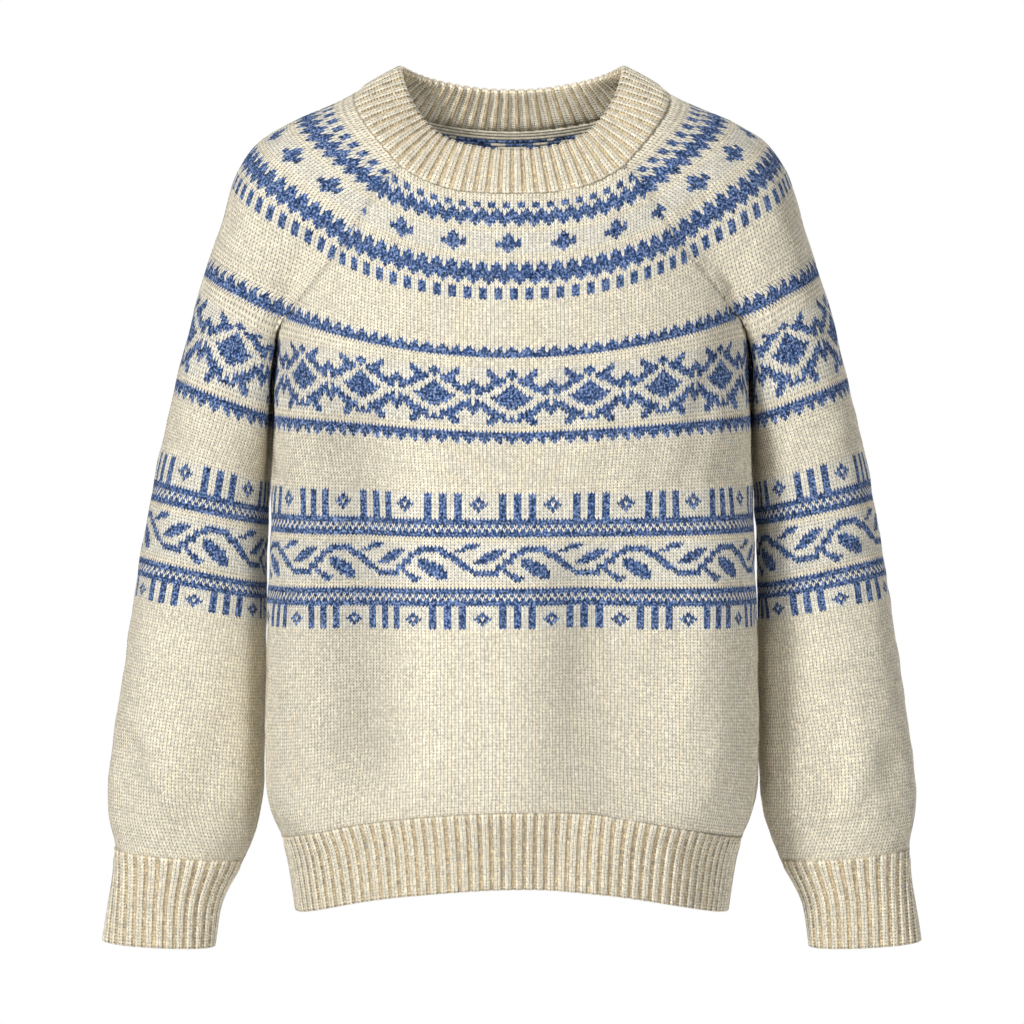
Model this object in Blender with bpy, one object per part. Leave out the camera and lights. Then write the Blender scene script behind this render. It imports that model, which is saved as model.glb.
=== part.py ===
"""Knitted crew-neck sweater with raglan sleeves, worn shape, hollow.

Frame: the sweater faces -Y, +X is the wearer's left and +Z is up. The origin lies on
the middle plane, level with the tops of the shoulders just outside the neckband.
Every piece is a wall of cloth laid on one form: a trunk given by level sections and
two arms given by sections along a bent axis, blended over the yoke. A knitted row is
the line in which the form meets that row's own surface, and each panel is a stack of
such rows held between two seams.
"""

import math

import bpy
import numpy as np

# Driving sizes, metres.
WALL = 0.0028  # stranded knit
RIB_WALL = 0.0042  # hem and cuff rib
BAND_WALL = 0.0055  # doubled neck rib
SEW_GAP = 0.00015  # each side of a sewn seam
UNDERARM_Y = 0.022
UNDERARM_Z = -0.186
FRONT_CROTCH = 3.7  # how fast the join between arm and trunk climbs forwards
BACK_CROTCH = 12.0  # and backwards
BLEND = 0.072  # width of the soft join over the yoke
BLEND_RISE = 0.100
BODY_COLUMNS = 21
SLEEVE_COLUMNS = 17
NECK_CENTRE_Y = -0.010
SPLIT_BIAS = 1.15  # how much longer one diagonal of a facet pair must be to lose
PATTERNED = (0.72, 0.69, 0.60)  # mean colour of the figured cloth
CREAM = (0.82, 0.78, 0.67)

UNDERARM_ROW = 62
UNDERARM_TILT = 0.05  # fall of the sleeve's rows towards the front, at the underarm
LEVEL_ROW = 104  # sleeve row by which that fall has gone
CROTCH_ROW = 54
YOKE = [0, 6, 12, 19, 26.5, 34, 44, 54, 57, 59.5, 62]
BODY_LEVELS = YOKE + [72, 83, 93, 104, 115, 126, 137, 148, 160, 172, 184, 195, 203, 210]
HEM_LEVELS = [210, 222, 235]
SLEEVE_LEVELS = YOKE + [70, 80, 92, 105, 118, 132, 146, 160, 174, 187, 199, 209, 217, 222, 225]
CUFF_LEVELS = [225, 232, 241, 253]

# Trunk sections: height, half width, front, back, squareness.
TORSO = [
    (0.040, 0.088, 0.060, 0.044, 2.10),
    (0.000, 0.110, 0.072, 0.062, 2.15),
    (-0.040, 0.142, 0.081, 0.082, 2.20),
    (-0.080, 0.165, 0.095, 0.100, 2.30),
    (-0.120, 0.178, 0.109, 0.114, 2.40),
    (-0.160, 0.183, 0.119, 0.122, 2.45),
    (-0.200, 0.1845, 0.1245, 0.125, 2.45),
    (-0.250, 0.1860, 0.127, 0.125, 2.40),
    (-0.320, 0.1885, 0.127, 0.122, 2.38),
    (-0.400, 0.1912, 0.126, 0.120, 2.38),
    (-0.470, 0.1928, 0.125, 0.119, 2.38),
    (-0.525, 0.1926, 0.123, 0.118, 2.38),
    (-0.556, 0.1880, 0.120, 0.116, 2.38),
    (-0.576, 0.1790, 0.116, 0.113, 2.36),
    (-0.600, 0.1730, 0.1135, 0.111, 2.34),
    (-0.635, 0.1680, 0.112, 0.110, 2.32),
]
# Arm sections: along the arm, x, y, z, half width, half depth.
ARM = [
    (0.00, 0.0874, 0.002, -0.0591, 0.0640, 0.070),
    (0.10, 0.1312, 0.002, -0.0718, 0.0670, 0.073),
    (0.20, 0.1580, 0.004, -0.0866, 0.0667, 0.074),
    (0.30, 0.1783, 0.009, -0.1143, 0.0539, 0.071),
    (0.40, 0.2025, 0.019, -0.1664, 0.0467, 0.0665),
    (0.50, 0.2232, 0.029, -0.2353, 0.0440, 0.0625),
    (0.62, 0.2385, 0.037, -0.3150, 0.0470, 0.0590),
    (0.76, 0.2475, 0.040, -0.4080, 0.0535, 0.0580),
    (0.90, 0.2550, 0.038, -0.5030, 0.0602, 0.0580),
    (0.965, 0.2588, 0.035, -0.5460, 0.0610, 0.0560),
    (1.02, 0.2640, 0.032, -0.5840, 0.0533, 0.0470),
    (1.047, 0.2683, 0.030, -0.6030, 0.0467, 0.0400),
    (1.074, 0.2727, 0.028, -0.6220, 0.0431, 0.0350),
    (1.10, 0.2760, 0.026, -0.6410, 0.0429, 0.0330),
    (1.14, 0.2800, 0.023, -0.6700, 0.0433, 0.0325),
]
# Raglan seams down to the join of arm and trunk: row, x, y, z.
SEAM_FRONT = [
    (0, 0.0848, -0.074, -0.0545),
    (4, 0.0922, -0.077, -0.0590),
    (8, 0.1008, -0.083, -0.0672),
    (16, 0.1135, -0.090, -0.0825),
    (26.5, 0.1285, -0.090, -0.1020),
    (34, 0.1388, -0.087, -0.1160),
    (44, 0.1560, -0.0762, -0.1385),
    (54, 0.1745, -0.0585, -0.1620),
    (58, 0.1795, -0.034, -0.1748),
    (62, 0.1830, 0.022, -0.1860),
]
SEAM_BACK = [
    (0, 0.0800, 0.052, -0.0100),
    (8, 0.0940, 0.066, -0.0270),
    (16, 0.1075, 0.078, -0.0445),
    (26.5, 0.1215, 0.088, -0.0690),
    (34, 0.1320, 0.091, -0.0880),
    (44, 0.1490, 0.086, -0.1180),
    (54, 0.1660, 0.074, -0.1530),
    (58, 0.1740, 0.0587, -0.1698),
    (62, 0.1830, 0.022, -0.1860),
]
# Trunk rows: row, height at the side, front centre, back centre, bend of the front row.
BODY = [
    (0, 0.0, -0.0729, -0.0185, 3.0),
    (4, 0.0, -0.0810, -0.0280, 2.9),
    (8, 0.0, -0.0905, -0.0385, 2.7),
    (16, 0.0, -0.1092, -0.0590, 2.5),
    (26.5, 0.0, -0.1321, -0.0855, 2.3),
    (34, 0.0, -0.1490, -0.1045, 2.3),
    (54, 0.0, -0.1935, -0.1545, 2.1),
    (62, -0.1850, -0.2105, -0.1765, 1.7),
    (70, -0.2085, -0.2295, -0.2000, 1.45),
    (83, -0.2510, -0.2610, -0.2385, 1.4),
    (102, -0.2965, -0.3005, -0.2915, 1.5),
    (111.5, -0.3215, -0.3233, -0.3175, 2.0),
    (115.5, -0.3315, -0.3325, -0.3285, 2.0),
    (134.5, -0.3780, -0.3757, -0.3765, 2.0),
    (138.5, -0.3880, -0.3848, -0.3865, 2.0),
    (147.5, -0.4075, -0.4043, -0.4060, 2.0),
    (210, -0.5730, -0.5454, -0.5600, 2.0),
    (235, -0.6300, -0.6037, -0.6125, 2.0),
]
# Sleeve rows: row, x and z of the outermost point, fall per metre inwards.
SPINE = [
    (0, 0.1190, 0.0095, 0.00),
    (4, 0.1370, 0.0010, 0.20),
    (8, 0.1545, -0.0055, 0.38),
    (16, 0.1805, -0.0165, 0.62),
    (26.5, 0.2048, -0.0345, 0.74),
    (34, 0.2150, -0.0550, 0.70),
    (44, 0.2275, -0.0880, 0.62),
    (54, 0.2378, -0.1240, 0.52),
    (62, 0.2475, -0.1500, 0.44),
    (70, 0.2540, -0.1745, 0.40),
    (83, 0.2640, -0.2230, 0.37),
    (102, 0.2760, -0.2710, 0.29),
    (111.5, 0.2830, -0.2965, 0.25),
    (115.5, 0.2860, -0.3075, 0.225),
    (134.5, 0.2950, -0.3575, 0.21),
    (138.5, 0.2970, -0.3675, 0.19),
    (147.5, 0.3010, -0.3860, 0.18),
    (225, 0.3190, -0.5870, 0.085),
    (253, 0.3220, -0.6580, 0.055),
]
# Soft upright folds of the trunk: 1 for the back, x at FOLD_LEVEL, where it begins, half
# width, depth inwards, drift in x per metre up.
TRUNK_FOLDS = [
    (0, -0.107, -0.20, 0.056, 0.0068, 0.03),
    (0, -0.032, -0.33, 0.046, -0.0030, 0.16),
    (0, 0.043, -0.31, 0.046, 0.0056, 0.19),
    (0, 0.124, -0.36, 0.048, -0.0028, 0.05),
    (1, 0.101, -0.24, 0.060, 0.0062, -0.08),
    (1, 0.022, -0.36, 0.050, -0.0026, -0.14),
    (1, -0.052, -0.30, 0.048, 0.0050, 0.10),
    (1, -0.126, -0.40, 0.045, -0.0030, 0.04),
]
FOLD_LEVEL = -0.51
FOLD_RISE = 0.16  # how gradually a fold begins
# Folds of the sleeve: place along it, half length, degrees round from the outside by way
# of the front, half width in degrees, depth inwards.
SLEEVE_FOLDS = [
    (0.955, 0.110, 38, 30, 0.0032),
    (0.940, 0.120, 69, 26, -0.0022),
    (0.965, 0.100, 101, 32, 0.0034),
    (0.950, 0.110, -28, 30, 0.0028),
    (0.945, 0.120, -62, 28, -0.0022),
    (0.960, 0.105, -104, 34, 0.0034),
    (0.600, 0.050, -75, 62, 0.0026),
    (0.690, 0.045, -95, 55, 0.0018),
    (0.520, 0.050, 88, 46, 0.0020),
    (0.635, 0.045, 108, 50, 0.0016),
]
# Upper edge of the neckband: degrees round from the front, radius, height.
NECK_TOP = [
    (-35, 0.0709, -0.0330),
    (0, 0.0640, -0.0385),
    (35, 0.0709, -0.0330),
    (49, 0.0766, -0.0245),
    (63, 0.0818, -0.0075),
    (76, 0.0845, 0.0098),
    (90, 0.0868, 0.0255),
    (103, 0.0865, 0.0275),
    (120, 0.0822, 0.0225),
    (145, 0.0696, 0.0155),
    (180, 0.0620, 0.0126),
    (215, 0.0696, 0.0155),
]
# Section of the neckband: share of its height, distance out from its face.
NECK_SECTION = [
    (0.00, 0.0),
    (0.50, 0.0006),
    (0.96, -0.0004),
    (0.96, -0.0050),
    (0.50, -0.0055),
    (0.00, -0.0055),
]


def clear_scene():
    for ob in list(bpy.data.objects):
        bpy.data.objects.remove(ob, do_unlink=True)


def spline(table):
    """A natural cubic through a table whose first column is the one to read by."""
    t = np.asarray(table, float)
    x, y = t[:, 0], t[:, 1:]
    if x[1] < x[0]:
        x, y = x[::-1], y[::-1]
    n = len(x)
    h = np.diff(x)
    a = np.zeros((n, n))
    b = np.zeros((n, y.shape[1]))
    a[0, 0] = a[-1, -1] = 1.0
    for i in range(1, n - 1):
        a[i, i - 1], a[i, i], a[i, i + 1] = h[i - 1], 2 * (h[i - 1] + h[i]), h[i]
        b[i] = 6 * ((y[i + 1] - y[i]) / h[i] - (y[i] - y[i - 1]) / h[i - 1])
    return x, y, np.linalg.solve(a, b)


def read(s, q):
    x, y, m = s
    c = np.clip(np.asarray(q, float), x[0], x[-1])
    i = np.clip(np.searchsorted(x, c) - 1, 0, len(x) - 2)
    h = (x[i + 1] - x[i])[..., None]
    u = (c - x[i])[..., None]
    v = (x[i + 1] - c)[..., None]
    ends = (y[i] / h - m[i] * h / 6) * v + (y[i + 1] / h - m[i + 1] * h / 6) * u
    return m[i] * v**3 / (6 * h) + m[i + 1] * u**3 / (6 * h) + ends


def steady(table, q):
    """A curve through a table that never overshoots it."""
    t = np.asarray(table, float)
    x, y = t[:, 0], t[:, 1:]
    h = np.diff(x)[:, None]
    d = np.diff(y, axis=0) / h
    w1, w2 = 2 * h[1:] + h[:-1], h[1:] + 2 * h[:-1]
    same = d[:-1] * d[1:] > 0
    den = w1 / np.where(same, d[:-1], 1) + w2 / np.where(same, d[1:], 1)
    m = np.vstack([d[:1], np.where(same, (w1 + w2) / den, 0), d[-1:]])
    q = np.asarray(q, float)
    i = np.clip(np.searchsorted(x, q, side="right") - 1, 0, len(x) - 2)
    g = (x[i + 1] - x[i])[..., None]
    u = (q - x[i])[..., None] / g
    low = (1 + 2 * u) * (1 - u) ** 2 * y[i] + u * (1 - u) ** 2 * g * m[i]
    return low + u * u * (3 - 2 * u) * y[i + 1] + u * u * (u - 1) * g * m[i + 1]


TORSO_CURVE = spline(TORSO)
ARM_CURVE = spline(ARM)
ARM_T = np.linspace(ARM[0][0], ARM[-1][0], 93)
ARM_POINTS = read(ARM_CURVE, ARM_T)


def ease(t, low, high):
    u = np.clip((t - low) / (high - low), 0, 1)
    return u * u * (3 - 2 * u)


def crotch(y):
    """Height at which arm and trunk join, for a place this far forward or back."""
    d = y - UNDERARM_Y
    return UNDERARM_Z + np.where(d < 0, FRONT_CROTCH, BACK_CROTCH) * d * d


def bump(u):
    return np.maximum(1 - u * u, 0) ** 3


def trunk_folds(p):
    x, y, z = p[..., 0], p[..., 1], p[..., 2]
    total = np.zeros(x.shape)
    for back, centre, top, width, depth, drift in TRUNK_FOLDS:
        across_fold = (x - centre - drift * (z - FOLD_LEVEL)) / width
        face = ease(y if back else -y, 0.0, 0.05)
        total += depth * bump(across_fold) * ease(top - z, 0, FOLD_RISE) * face
    return total


def sleeve_folds(t, turn):
    total = np.zeros(t.shape)
    for place, length, centre, width, depth in SLEEVE_FOLDS:
        apart = (np.degrees(turn) - centre + 180) % 360 - 180
        total += depth * bump((t - place) / length) * bump(apart / width)
    return total


def torso(p):
    s = read(TORSO_CURVE, p[..., 2])
    n = s[..., 3]
    x = np.abs(p[..., 0]) / s[..., 0]
    y = np.abs(p[..., 1]) / np.where(p[..., 1] < 0, s[..., 1], s[..., 2])
    rho = (x**n + y**n + 1e-9) ** (1 / n)
    return np.hypot(p[..., 0], p[..., 1]) * (1 - 1 / rho) + trunk_folds(p)


def arm(p):
    q = np.stack([np.abs(p[..., 0]), p[..., 1], p[..., 2]], -1).reshape(-1, 3)
    d = ((q[:, None, :] - ARM_POINTS[None, :, :3]) ** 2).sum(-1)
    t = ARM_T[d.argmin(1)]
    e = 1e-3
    for _ in range(4):
        c = read(ARM_CURVE, t)[:, :3]
        ahead, behind = read(ARM_CURVE, t + e)[:, :3], read(ARM_CURVE, t - e)[:, :3]
        along = (ahead - behind) / (2 * e)
        turn = (ahead - 2 * c + behind) / e**2
        r = q - c
        pace = (along * along).sum(-1)
        slide = (r * along).sum(-1) / np.maximum(pace - (r * turn).sum(-1), 0.5 * pace)
        t = np.clip(t + np.clip(slide, -0.03, 0.03), ARM_T[0] + e, ARM_T[-1] - e)
    c = read(ARM_CURVE, t)
    along = read(ARM_CURVE, t + e)[:, :3] - read(ARM_CURVE, t - e)[:, :3]
    along /= np.linalg.norm(along, axis=1)[:, None]
    side = np.stack([-along[:, 2], np.zeros(len(along)), along[:, 0]], -1)
    side /= np.linalg.norm(side, axis=1)[:, None]
    fore = np.cross(along, side)
    r = q - c[:, :3]
    u, w, off = (r * side).sum(-1), (r * fore).sum(-1), (r * along).sum(-1)
    n = 2.15
    rho = (np.abs(u / c[:, 3]) ** n + np.abs(w / c[:, 4]) ** n + 1e-9) ** (1 / n)
    v = np.hypot(u, w) * (1 - 1 / rho) + sleeve_folds(t, np.arctan2(w, u))
    past = np.sqrt(np.maximum(v, 0) ** 2 + off**2) + np.minimum(v, 0)
    return np.where(np.abs(off) > 1e-3, past, v).reshape(p.shape[:-1])


def soft_min(a, b, k):
    k = np.maximum(k, 1e-6)
    h = np.maximum(k - np.abs(a - b), 0) / k
    return np.minimum(a, b) - h**3 * k / 6


def sleeve_form(p):
    """The arm, flattened where it lies against the trunk."""
    rise = p[..., 2] - crotch(p[..., 1])
    below = np.minimum(0.0008 - rise * 0.12, 0.0040)
    clear = np.where(rise < 0, below, 0.0008 - rise * 1.5)
    return -soft_min(-arm(p), torso(p) - clear, 0.010)


def yoke_form(p):
    rise = p[..., 2] - crotch(p[..., 1])
    return soft_min(torso(p), sleeve_form(p), BLEND * ease(rise, 0, BLEND_RISE))


def body_side(p):
    return np.where(p[..., 2] < crotch(p[..., 1]), torso(p), yoke_form(p))


def arm_side(p):
    return np.where(p[..., 2] < crotch(p[..., 1]), sleeve_form(p), yoke_form(p))


def gradient(form, p, e=2e-4):
    g = np.empty_like(p)
    for i in range(3):
        d = np.zeros(3)
        d[i] = e
        g[..., i] = (form(p + d) - form(p - d)) / (2 * e)
    return g


def even(rows, n):
    """Each row with n points at equal distances along it."""
    out = np.empty((len(rows), n, 3))
    for i, r in enumerate(rows):
        s = np.concatenate([[0], np.cumsum(np.linalg.norm(np.diff(r, axis=0), axis=1))])
        for k in range(3):
            out[i, :, k] = np.interp(np.linspace(0, s[-1], n), s, r[:, k])
    return out


def settle(form, surface, p, rounds=20):
    """Draws each row, held at its ends, onto the form inside its own row surface."""
    for k in range(rounds):
        for _ in range(2 if k < rounds - 1 else 4):
            f = np.clip(form(p), -0.008, 0.008)
            a = gradient(form, p)
            g, b = surface(p)
            g = np.clip(g, -0.02, 0.02)
            aa, bb, ab = (a * a).sum(-1) + 0.02, (b * b).sum(-1) + 0.02, (a * b).sum(-1)
            det = np.maximum(aa * bb - ab * ab, 0.03)
            u, v = (bb * f - ab * g) / det, (aa * g - ab * f) / det
            p[:, 1:-1] -= (u[..., None] * a + v[..., None] * b)[:, 1:-1]
        if k < rounds - 1:
            p = even(p, p.shape[1])
    return p


def raglan(table, rows):
    """Points of a raglan seam, from the neck down to the underarm."""
    p = read(spline(table), rows)
    for _ in range(8):
        f, g = yoke_form(p), gradient(yoke_form, p)
        push = np.clip(f, -0.01, 0.01) / np.maximum((g * g).sum(-1), 0.05)
        p = p - np.where(rows < CROTCH_ROW, push, 0)[:, None] * g
    low = rows >= CROTCH_ROW
    p[low, 2] = crotch(p[low, 1])
    for _ in range(6):
        p[low, 0] -= torso(p)[low]
    return p


def trunk_side(rows):
    z = steady([b[:2] for b in BODY if b[0] >= UNDERARM_ROW], rows)[..., 0]
    y = UNDERARM_Y - 0.008 * ease(-z, 0.20, 0.40)
    p = np.stack([read(TORSO_CURVE, z)[..., 0], y, z], -1)
    for _ in range(6):
        p[..., 0] -= torso(p)
    return p


def body_rows(rows, n, back=False):
    """The rows of the front or back panel, from the wearer's right seam to the left."""
    rows = np.asarray(rows, float)
    up = rows <= UNDERARM_ROW
    end = np.empty((len(rows), 3))
    if up.any():
        end[up] = raglan(SEAM_BACK if back else SEAM_FRONT, rows[up])
    if (~up).any():
        end[~up] = trunk_side(rows[~up])
    level = steady(BODY, rows)
    centre = level[:, 2] if back else level[:, 1]
    bend = np.full(len(rows), 2.0) if back else level[:, 3]
    way = 1.0 if back else -1.0
    u = np.linspace(-1, 1, n)
    turn = np.arctan2(end[:, 0], np.maximum(way * end[:, 1], -0.06))[:, None] * u
    reach = np.hypot(end[:, 0], end[:, 1])[:, None] * (0.8 + 0.2 * u**2)
    p = np.stack([reach * np.sin(turn), way * reach * np.cos(turn), np.zeros_like(turn)], -1)
    p[..., 2] = centre[:, None] + (end[:, 2] - centre)[:, None] * np.abs(u) ** bend[:, None]
    p[:, 0] = end * [-1, 1, 1]
    p[:, -1] = end

    def surface(q):
        edge = end[:, 0][:, None]
        t = np.minimum(np.abs(q[..., 0]) / edge, 1.08)
        drop = (end[:, 2] - centre)[:, None]
        slope = drop * bend[:, None] * t ** (bend[:, None] - 1) / edge * np.sign(q[..., 0])
        g = np.stack([-slope, np.zeros_like(slope), np.ones_like(slope)], -1)
        return q[..., 2] - centre[:, None] - drop * t ** bend[:, None], g

    return settle(body_side, surface, p)


def sleeve_rows(rows, n):
    """The rows of the sleeve on +X, from its front seam over the arm to its back one."""
    rows = np.asarray(rows, float)
    up = rows <= UNDERARM_ROW
    low = ~up
    level = steady(SPINE, rows)
    out_x, out_z, fall = level[:, 0], level[:, 1], level[:, 2]
    tilt = UNDERARM_TILT * (1 - ease(rows, UNDERARM_ROW, LEVEL_ROW))
    out_y = read(ARM_CURVE, np.interp(-out_z, -ARM_POINTS[:, 2], ARM_T))[:, 1]
    front, rear = np.empty((len(rows), 3)), np.empty((len(rows), 3))
    if up.any():
        front[up] = raglan(SEAM_FRONT, rows[up])
        rear[up] = raglan(SEAM_BACK, rows[up])
    if low.any():
        z = out_z[low] - 0.10 * fall[low]
        y = UNDERARM_Y + 0.012 * ease(-z, 0.20, 0.35)
        c = read(ARM_CURVE, np.interp(-z, -ARM_POINTS[:, 2], ARM_T))
        x = c[:, 0] - c[:, 3]
        for _ in range(25):
            z = out_z[low] + fall[low] * (x - out_x[low]) + tilt[low] * (y - out_y[low])
            x = x + 0.8 * np.clip(sleeve_form(np.stack([x, y, z], -1)), -0.004, 0.004)
        front[low] = np.stack([x, y, z], -1)
        rear[low] = front[low]
    top = np.stack([out_x, out_y, out_z], -1)
    rise = top - front
    joint = rows == UNDERARM_ROW
    fall = np.where(joint, (rise[:, 2] - tilt * rise[:, 1]) / rise[:, 0], fall)
    level_n = np.stack([-fall, -tilt, np.ones(len(rows))], -1)
    normal = np.where((rows < UNDERARM_ROW)[:, None], np.cross(top - front, rear - front), level_n)
    normal /= np.linalg.norm(normal, axis=1)[:, None]
    normal *= np.sign(normal[:, 2:3])
    w = np.linspace(0, 1, n)[None, :, None]
    c = 2 * top - 0.5 * (front + rear)
    p = (1 - w) ** 2 * front[:, None] + 2 * w * (1 - w) * c[:, None] + w**2 * rear[:, None]
    ring = rows > UNDERARM_ROW - 6
    if ring.any():
        a = np.linspace(-math.pi, math.pi, n)[None]
        mid = read(ARM_CURVE, np.interp(-(out_z - 0.05 * fall), -ARM_POINTS[:, 2], ARM_T))[ring]
        half = 0.5 * (out_x - front[:, 0])[ring][:, None]
        q = p[ring]
        q[..., 0] = 0.5 * (out_x + front[:, 0])[ring][:, None] + half * np.cos(a)
        q[..., 1] = mid[:, 1:2] + mid[:, 4:5] * np.sin(a)
        q[..., 2] = out_z[ring][:, None] + fall[ring][:, None] * (q[..., 0] - out_x[ring][:, None])
        q[:, 0], q[:, -1] = front[ring], rear[ring]
        p[ring] = q

    def surface(q):
        return ((q - front[:, None]) * normal[:, None]).sum(-1), np.broadcast_to(normal[:, None], q.shape)

    return settle(arm_side, surface, p, rounds=28)


def inward(form, p, wall):
    g = gradient(form, p)
    g /= np.maximum(np.linalg.norm(g, axis=-1, keepdims=True), 1e-6)
    return p - wall * g


def across(edge, next_in):
    """Steps of one sewing gap from an edge into the panel, square to that edge."""
    along = np.gradient(edge, axis=0)
    d = next_in - edge
    d = d - along * ((d * along).sum(-1) / (along * along).sum(-1))[:, None]
    return SEW_GAP * d / np.linalg.norm(d, axis=-1, keepdims=True)


def drawn_in(p, sides=True, top=True, bottom=True):
    """The panel with its edges held back by the sewing gap."""
    q = p.copy()
    if sides:
        q[:, 0] += across(p[:, 0], p[:, 1])
        q[:, -1] += across(p[:, -1], p[:, -2])
    if top:
        q[0] += across(p[0], p[1])
    if bottom:
        q[-1] += across(p[-1], p[-2])
    return q


def wool(name, colour):
    m = bpy.data.materials.new(name)
    m.use_nodes = True
    b = m.node_tree.nodes["Principled BSDF"]
    b.inputs["Base Color"].default_value = (*colour, 1)
    b.inputs["Roughness"].default_value = 0.9
    b.inputs["Metallic"].default_value = 0.0
    return m


def solid(name, points, faces, colour):
    v = np.asarray(points, float)
    volume = 0.0
    for f in faces:
        for k in range(1, len(f) - 1):
            volume += np.dot(v[f[0]], np.cross(v[f[k]], v[f[k + 1]]))
    if volume < 0:
        faces = [f[::-1] for f in faces]
    mesh = bpy.data.meshes.new(name)
    mesh.from_pydata([tuple(x) for x in v], [], [tuple(f) for f in faces])
    mesh.update()
    ob = bpy.data.objects.new(name, mesh)
    mesh.materials.append(wool(name + "_wool", colour))
    bpy.context.scene.collection.objects.link(ob)
    return ob


def panel(name, outer, inner, colour):
    """A sheet of cloth between two grids of points, closed round its four edges. Its
    facets mirror each other about the middle, and none is split along its longer way."""
    rows, cols = outer.shape[:2]
    n = rows * cols
    faces = []
    for r in range(rows - 1):
        for c in range(cols - 1):
            a = r * cols + c
            b, d, e = a + 1, a + cols + 1, a + cols
            falling = np.linalg.norm(outer[r, c] - outer[r + 1, c + 1])
            rising = np.linalg.norm(outer[r, c + 1] - outer[r + 1, c])
            if falling < rising * (SPLIT_BIAS if c < cols // 2 else 1 / SPLIT_BIAS):
                faces += [(a, b, d, e), (n + a, n + e, n + d, n + b)]
            else:
                faces += [(b, d, e, a), (n + b, n + a, n + e, n + d)]
    rim = list(range(cols))
    rim += [r * cols + cols - 1 for r in range(1, rows)]
    rim += [(rows - 1) * cols + c for c in range(cols - 2, -1, -1)]
    rim += [r * cols for r in range(rows - 2, 0, -1)]
    for a, b in zip(rim, rim[1:] + rim[:1]):
        faces.append((b, a, n + a, n + b) if b < a else (a, n + a, n + b, b))
    points = np.concatenate([outer.reshape(-1, 3), inner.reshape(-1, 3)])
    triangles = []
    for f in faces:
        triangles += [(f[0], f[1], f[2]), (f[0], f[2], f[3])]
    return solid(name, points, triangles, colour)


def hoop(name, section_rings, colour):
    """A closed band: rings of points, each joined to the next and the last to the first."""
    rings = np.asarray(section_rings)
    k, n = rings.shape[:2]
    triangles = []
    for i in range(k):
        j = (i + 1) % k
        for c in range(n):
            d = (c + 1) % n
            a, b, e, f = i * n + c, i * n + d, j * n + d, j * n + c
            triangles += [(a, b, e), (a, e, f)]
    return solid(name, rings.reshape(-1, 3), triangles, colour)


def mirrored(p):
    return p * [-1, 1, 1]


def neck_ring():
    """The neckline, once round from the front centre by way of +X, with no point twice."""
    front = body_rows([0, 1], BODY_COLUMNS)[0]
    back = body_rows([0, 1], BODY_COLUMNS, back=True)[0]
    left = sleeve_rows([0, 1], SLEEVE_COLUMNS)[0]
    right = mirrored(left)
    half = BODY_COLUMNS // 2
    parts = [front[half:-1], left[:-1], back[::-1][:-1], right[::-1][:-1], front[:half]]
    return np.concatenate(parts)


def neck_rings():
    base = neck_ring()
    centre = np.array([0, NECK_CENTRE_Y, 0])
    d = base - centre
    turn = np.degrees(np.arctan2(np.abs(d[:, 0]), -d[:, 1]))
    top = read(spline(NECK_TOP), turn)
    a = np.radians(turn) * np.where(d[:, 0] < 0, -1, 1)
    upper = np.stack([top[:, 0] * np.sin(a), NECK_CENTRE_Y - top[:, 0] * np.cos(a), top[:, 1]], -1)
    along = upper - base
    round_ = np.roll(base + upper, -1, 0) - np.roll(base + upper, 1, 0)
    out = np.cross(round_, along)
    out /= np.linalg.norm(out, axis=1)[:, None]
    out *= np.sign((out * d).sum(1))[:, None]
    along_unit = along / np.linalg.norm(along, axis=1)[:, None]
    yoke = gradient(yoke_form, base)
    yoke /= np.linalg.norm(yoke, axis=1)[:, None]
    rings = []
    for share, lift in NECK_SECTION:
        face = yoke + (out - yoke) * ease(share, 0.0, 0.6)
        face /= np.linalg.norm(face, axis=1)[:, None]
        start = base + along_unit * SEW_GAP * 1.3
        rings.append(start + along * share + face * lift)
    return rings


def main():
    clear_scene()
    for name, back in (("front_panel", False), ("back_panel", True)):
        p = body_rows(BODY_LEVELS, BODY_COLUMNS, back)
        q = drawn_in(p)
        inner = inward(body_side, p, WALL) + (q - p)
        panel(name, q, inner, PATTERNED)

    p = sleeve_rows(SLEEVE_LEVELS, SLEEVE_COLUMNS)
    q = drawn_in(p)
    for i, row in enumerate(SLEEVE_LEVELS):
        if CROTCH_ROW < row <= UNDERARM_ROW:
            for c in (0, -1):
                out = gradient(torso, p[i, c])
                q[i, c] += 2 * SEW_GAP * out / np.linalg.norm(out)
    inner = inward(arm_side, p, WALL) + (q - p)
    panel("sleeve_left", q, inner, PATTERNED)
    panel("sleeve_right", mirrored(q), mirrored(inner), PATTERNED)

    for name, back in (("hem_rib_front", False), ("hem_rib_back", True)):
        p = body_rows(HEM_LEVELS, BODY_COLUMNS, back)
        q = drawn_in(p, bottom=False)
        panel(name, q, inward(torso, p, RIB_WALL) + (q - p), CREAM)

    p = sleeve_rows(CUFF_LEVELS, SLEEVE_COLUMNS)
    q = drawn_in(p, sides=False, bottom=False)
    inner = inward(sleeve_form, p, RIB_WALL) + (q - p)
    rings = [r[:-1] for r in q] + [r[:-1] for r in inner[::-1]]
    hoop("cuff_left", rings, CREAM)
    hoop("cuff_right", [mirrored(r) for r in rings], CREAM)

    hoop("neckband", neck_rings(), CREAM)


main()
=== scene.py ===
"""Looks of the knitted raglan sweater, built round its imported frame.

Frame: the sweater faces -Y, +X is the wearer's left and +Z is up, in metres. Every
piece of cloth is laid on the form that its solid has: a trunk given by level sections
and two arms given by sections along a bent axis, blended over the yoke. Rows of
stitches are counted down from the neck seam and columns from the middle of a piece, so
the same counts place the rows, the stitches and the blue figures.
"""

import math

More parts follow.
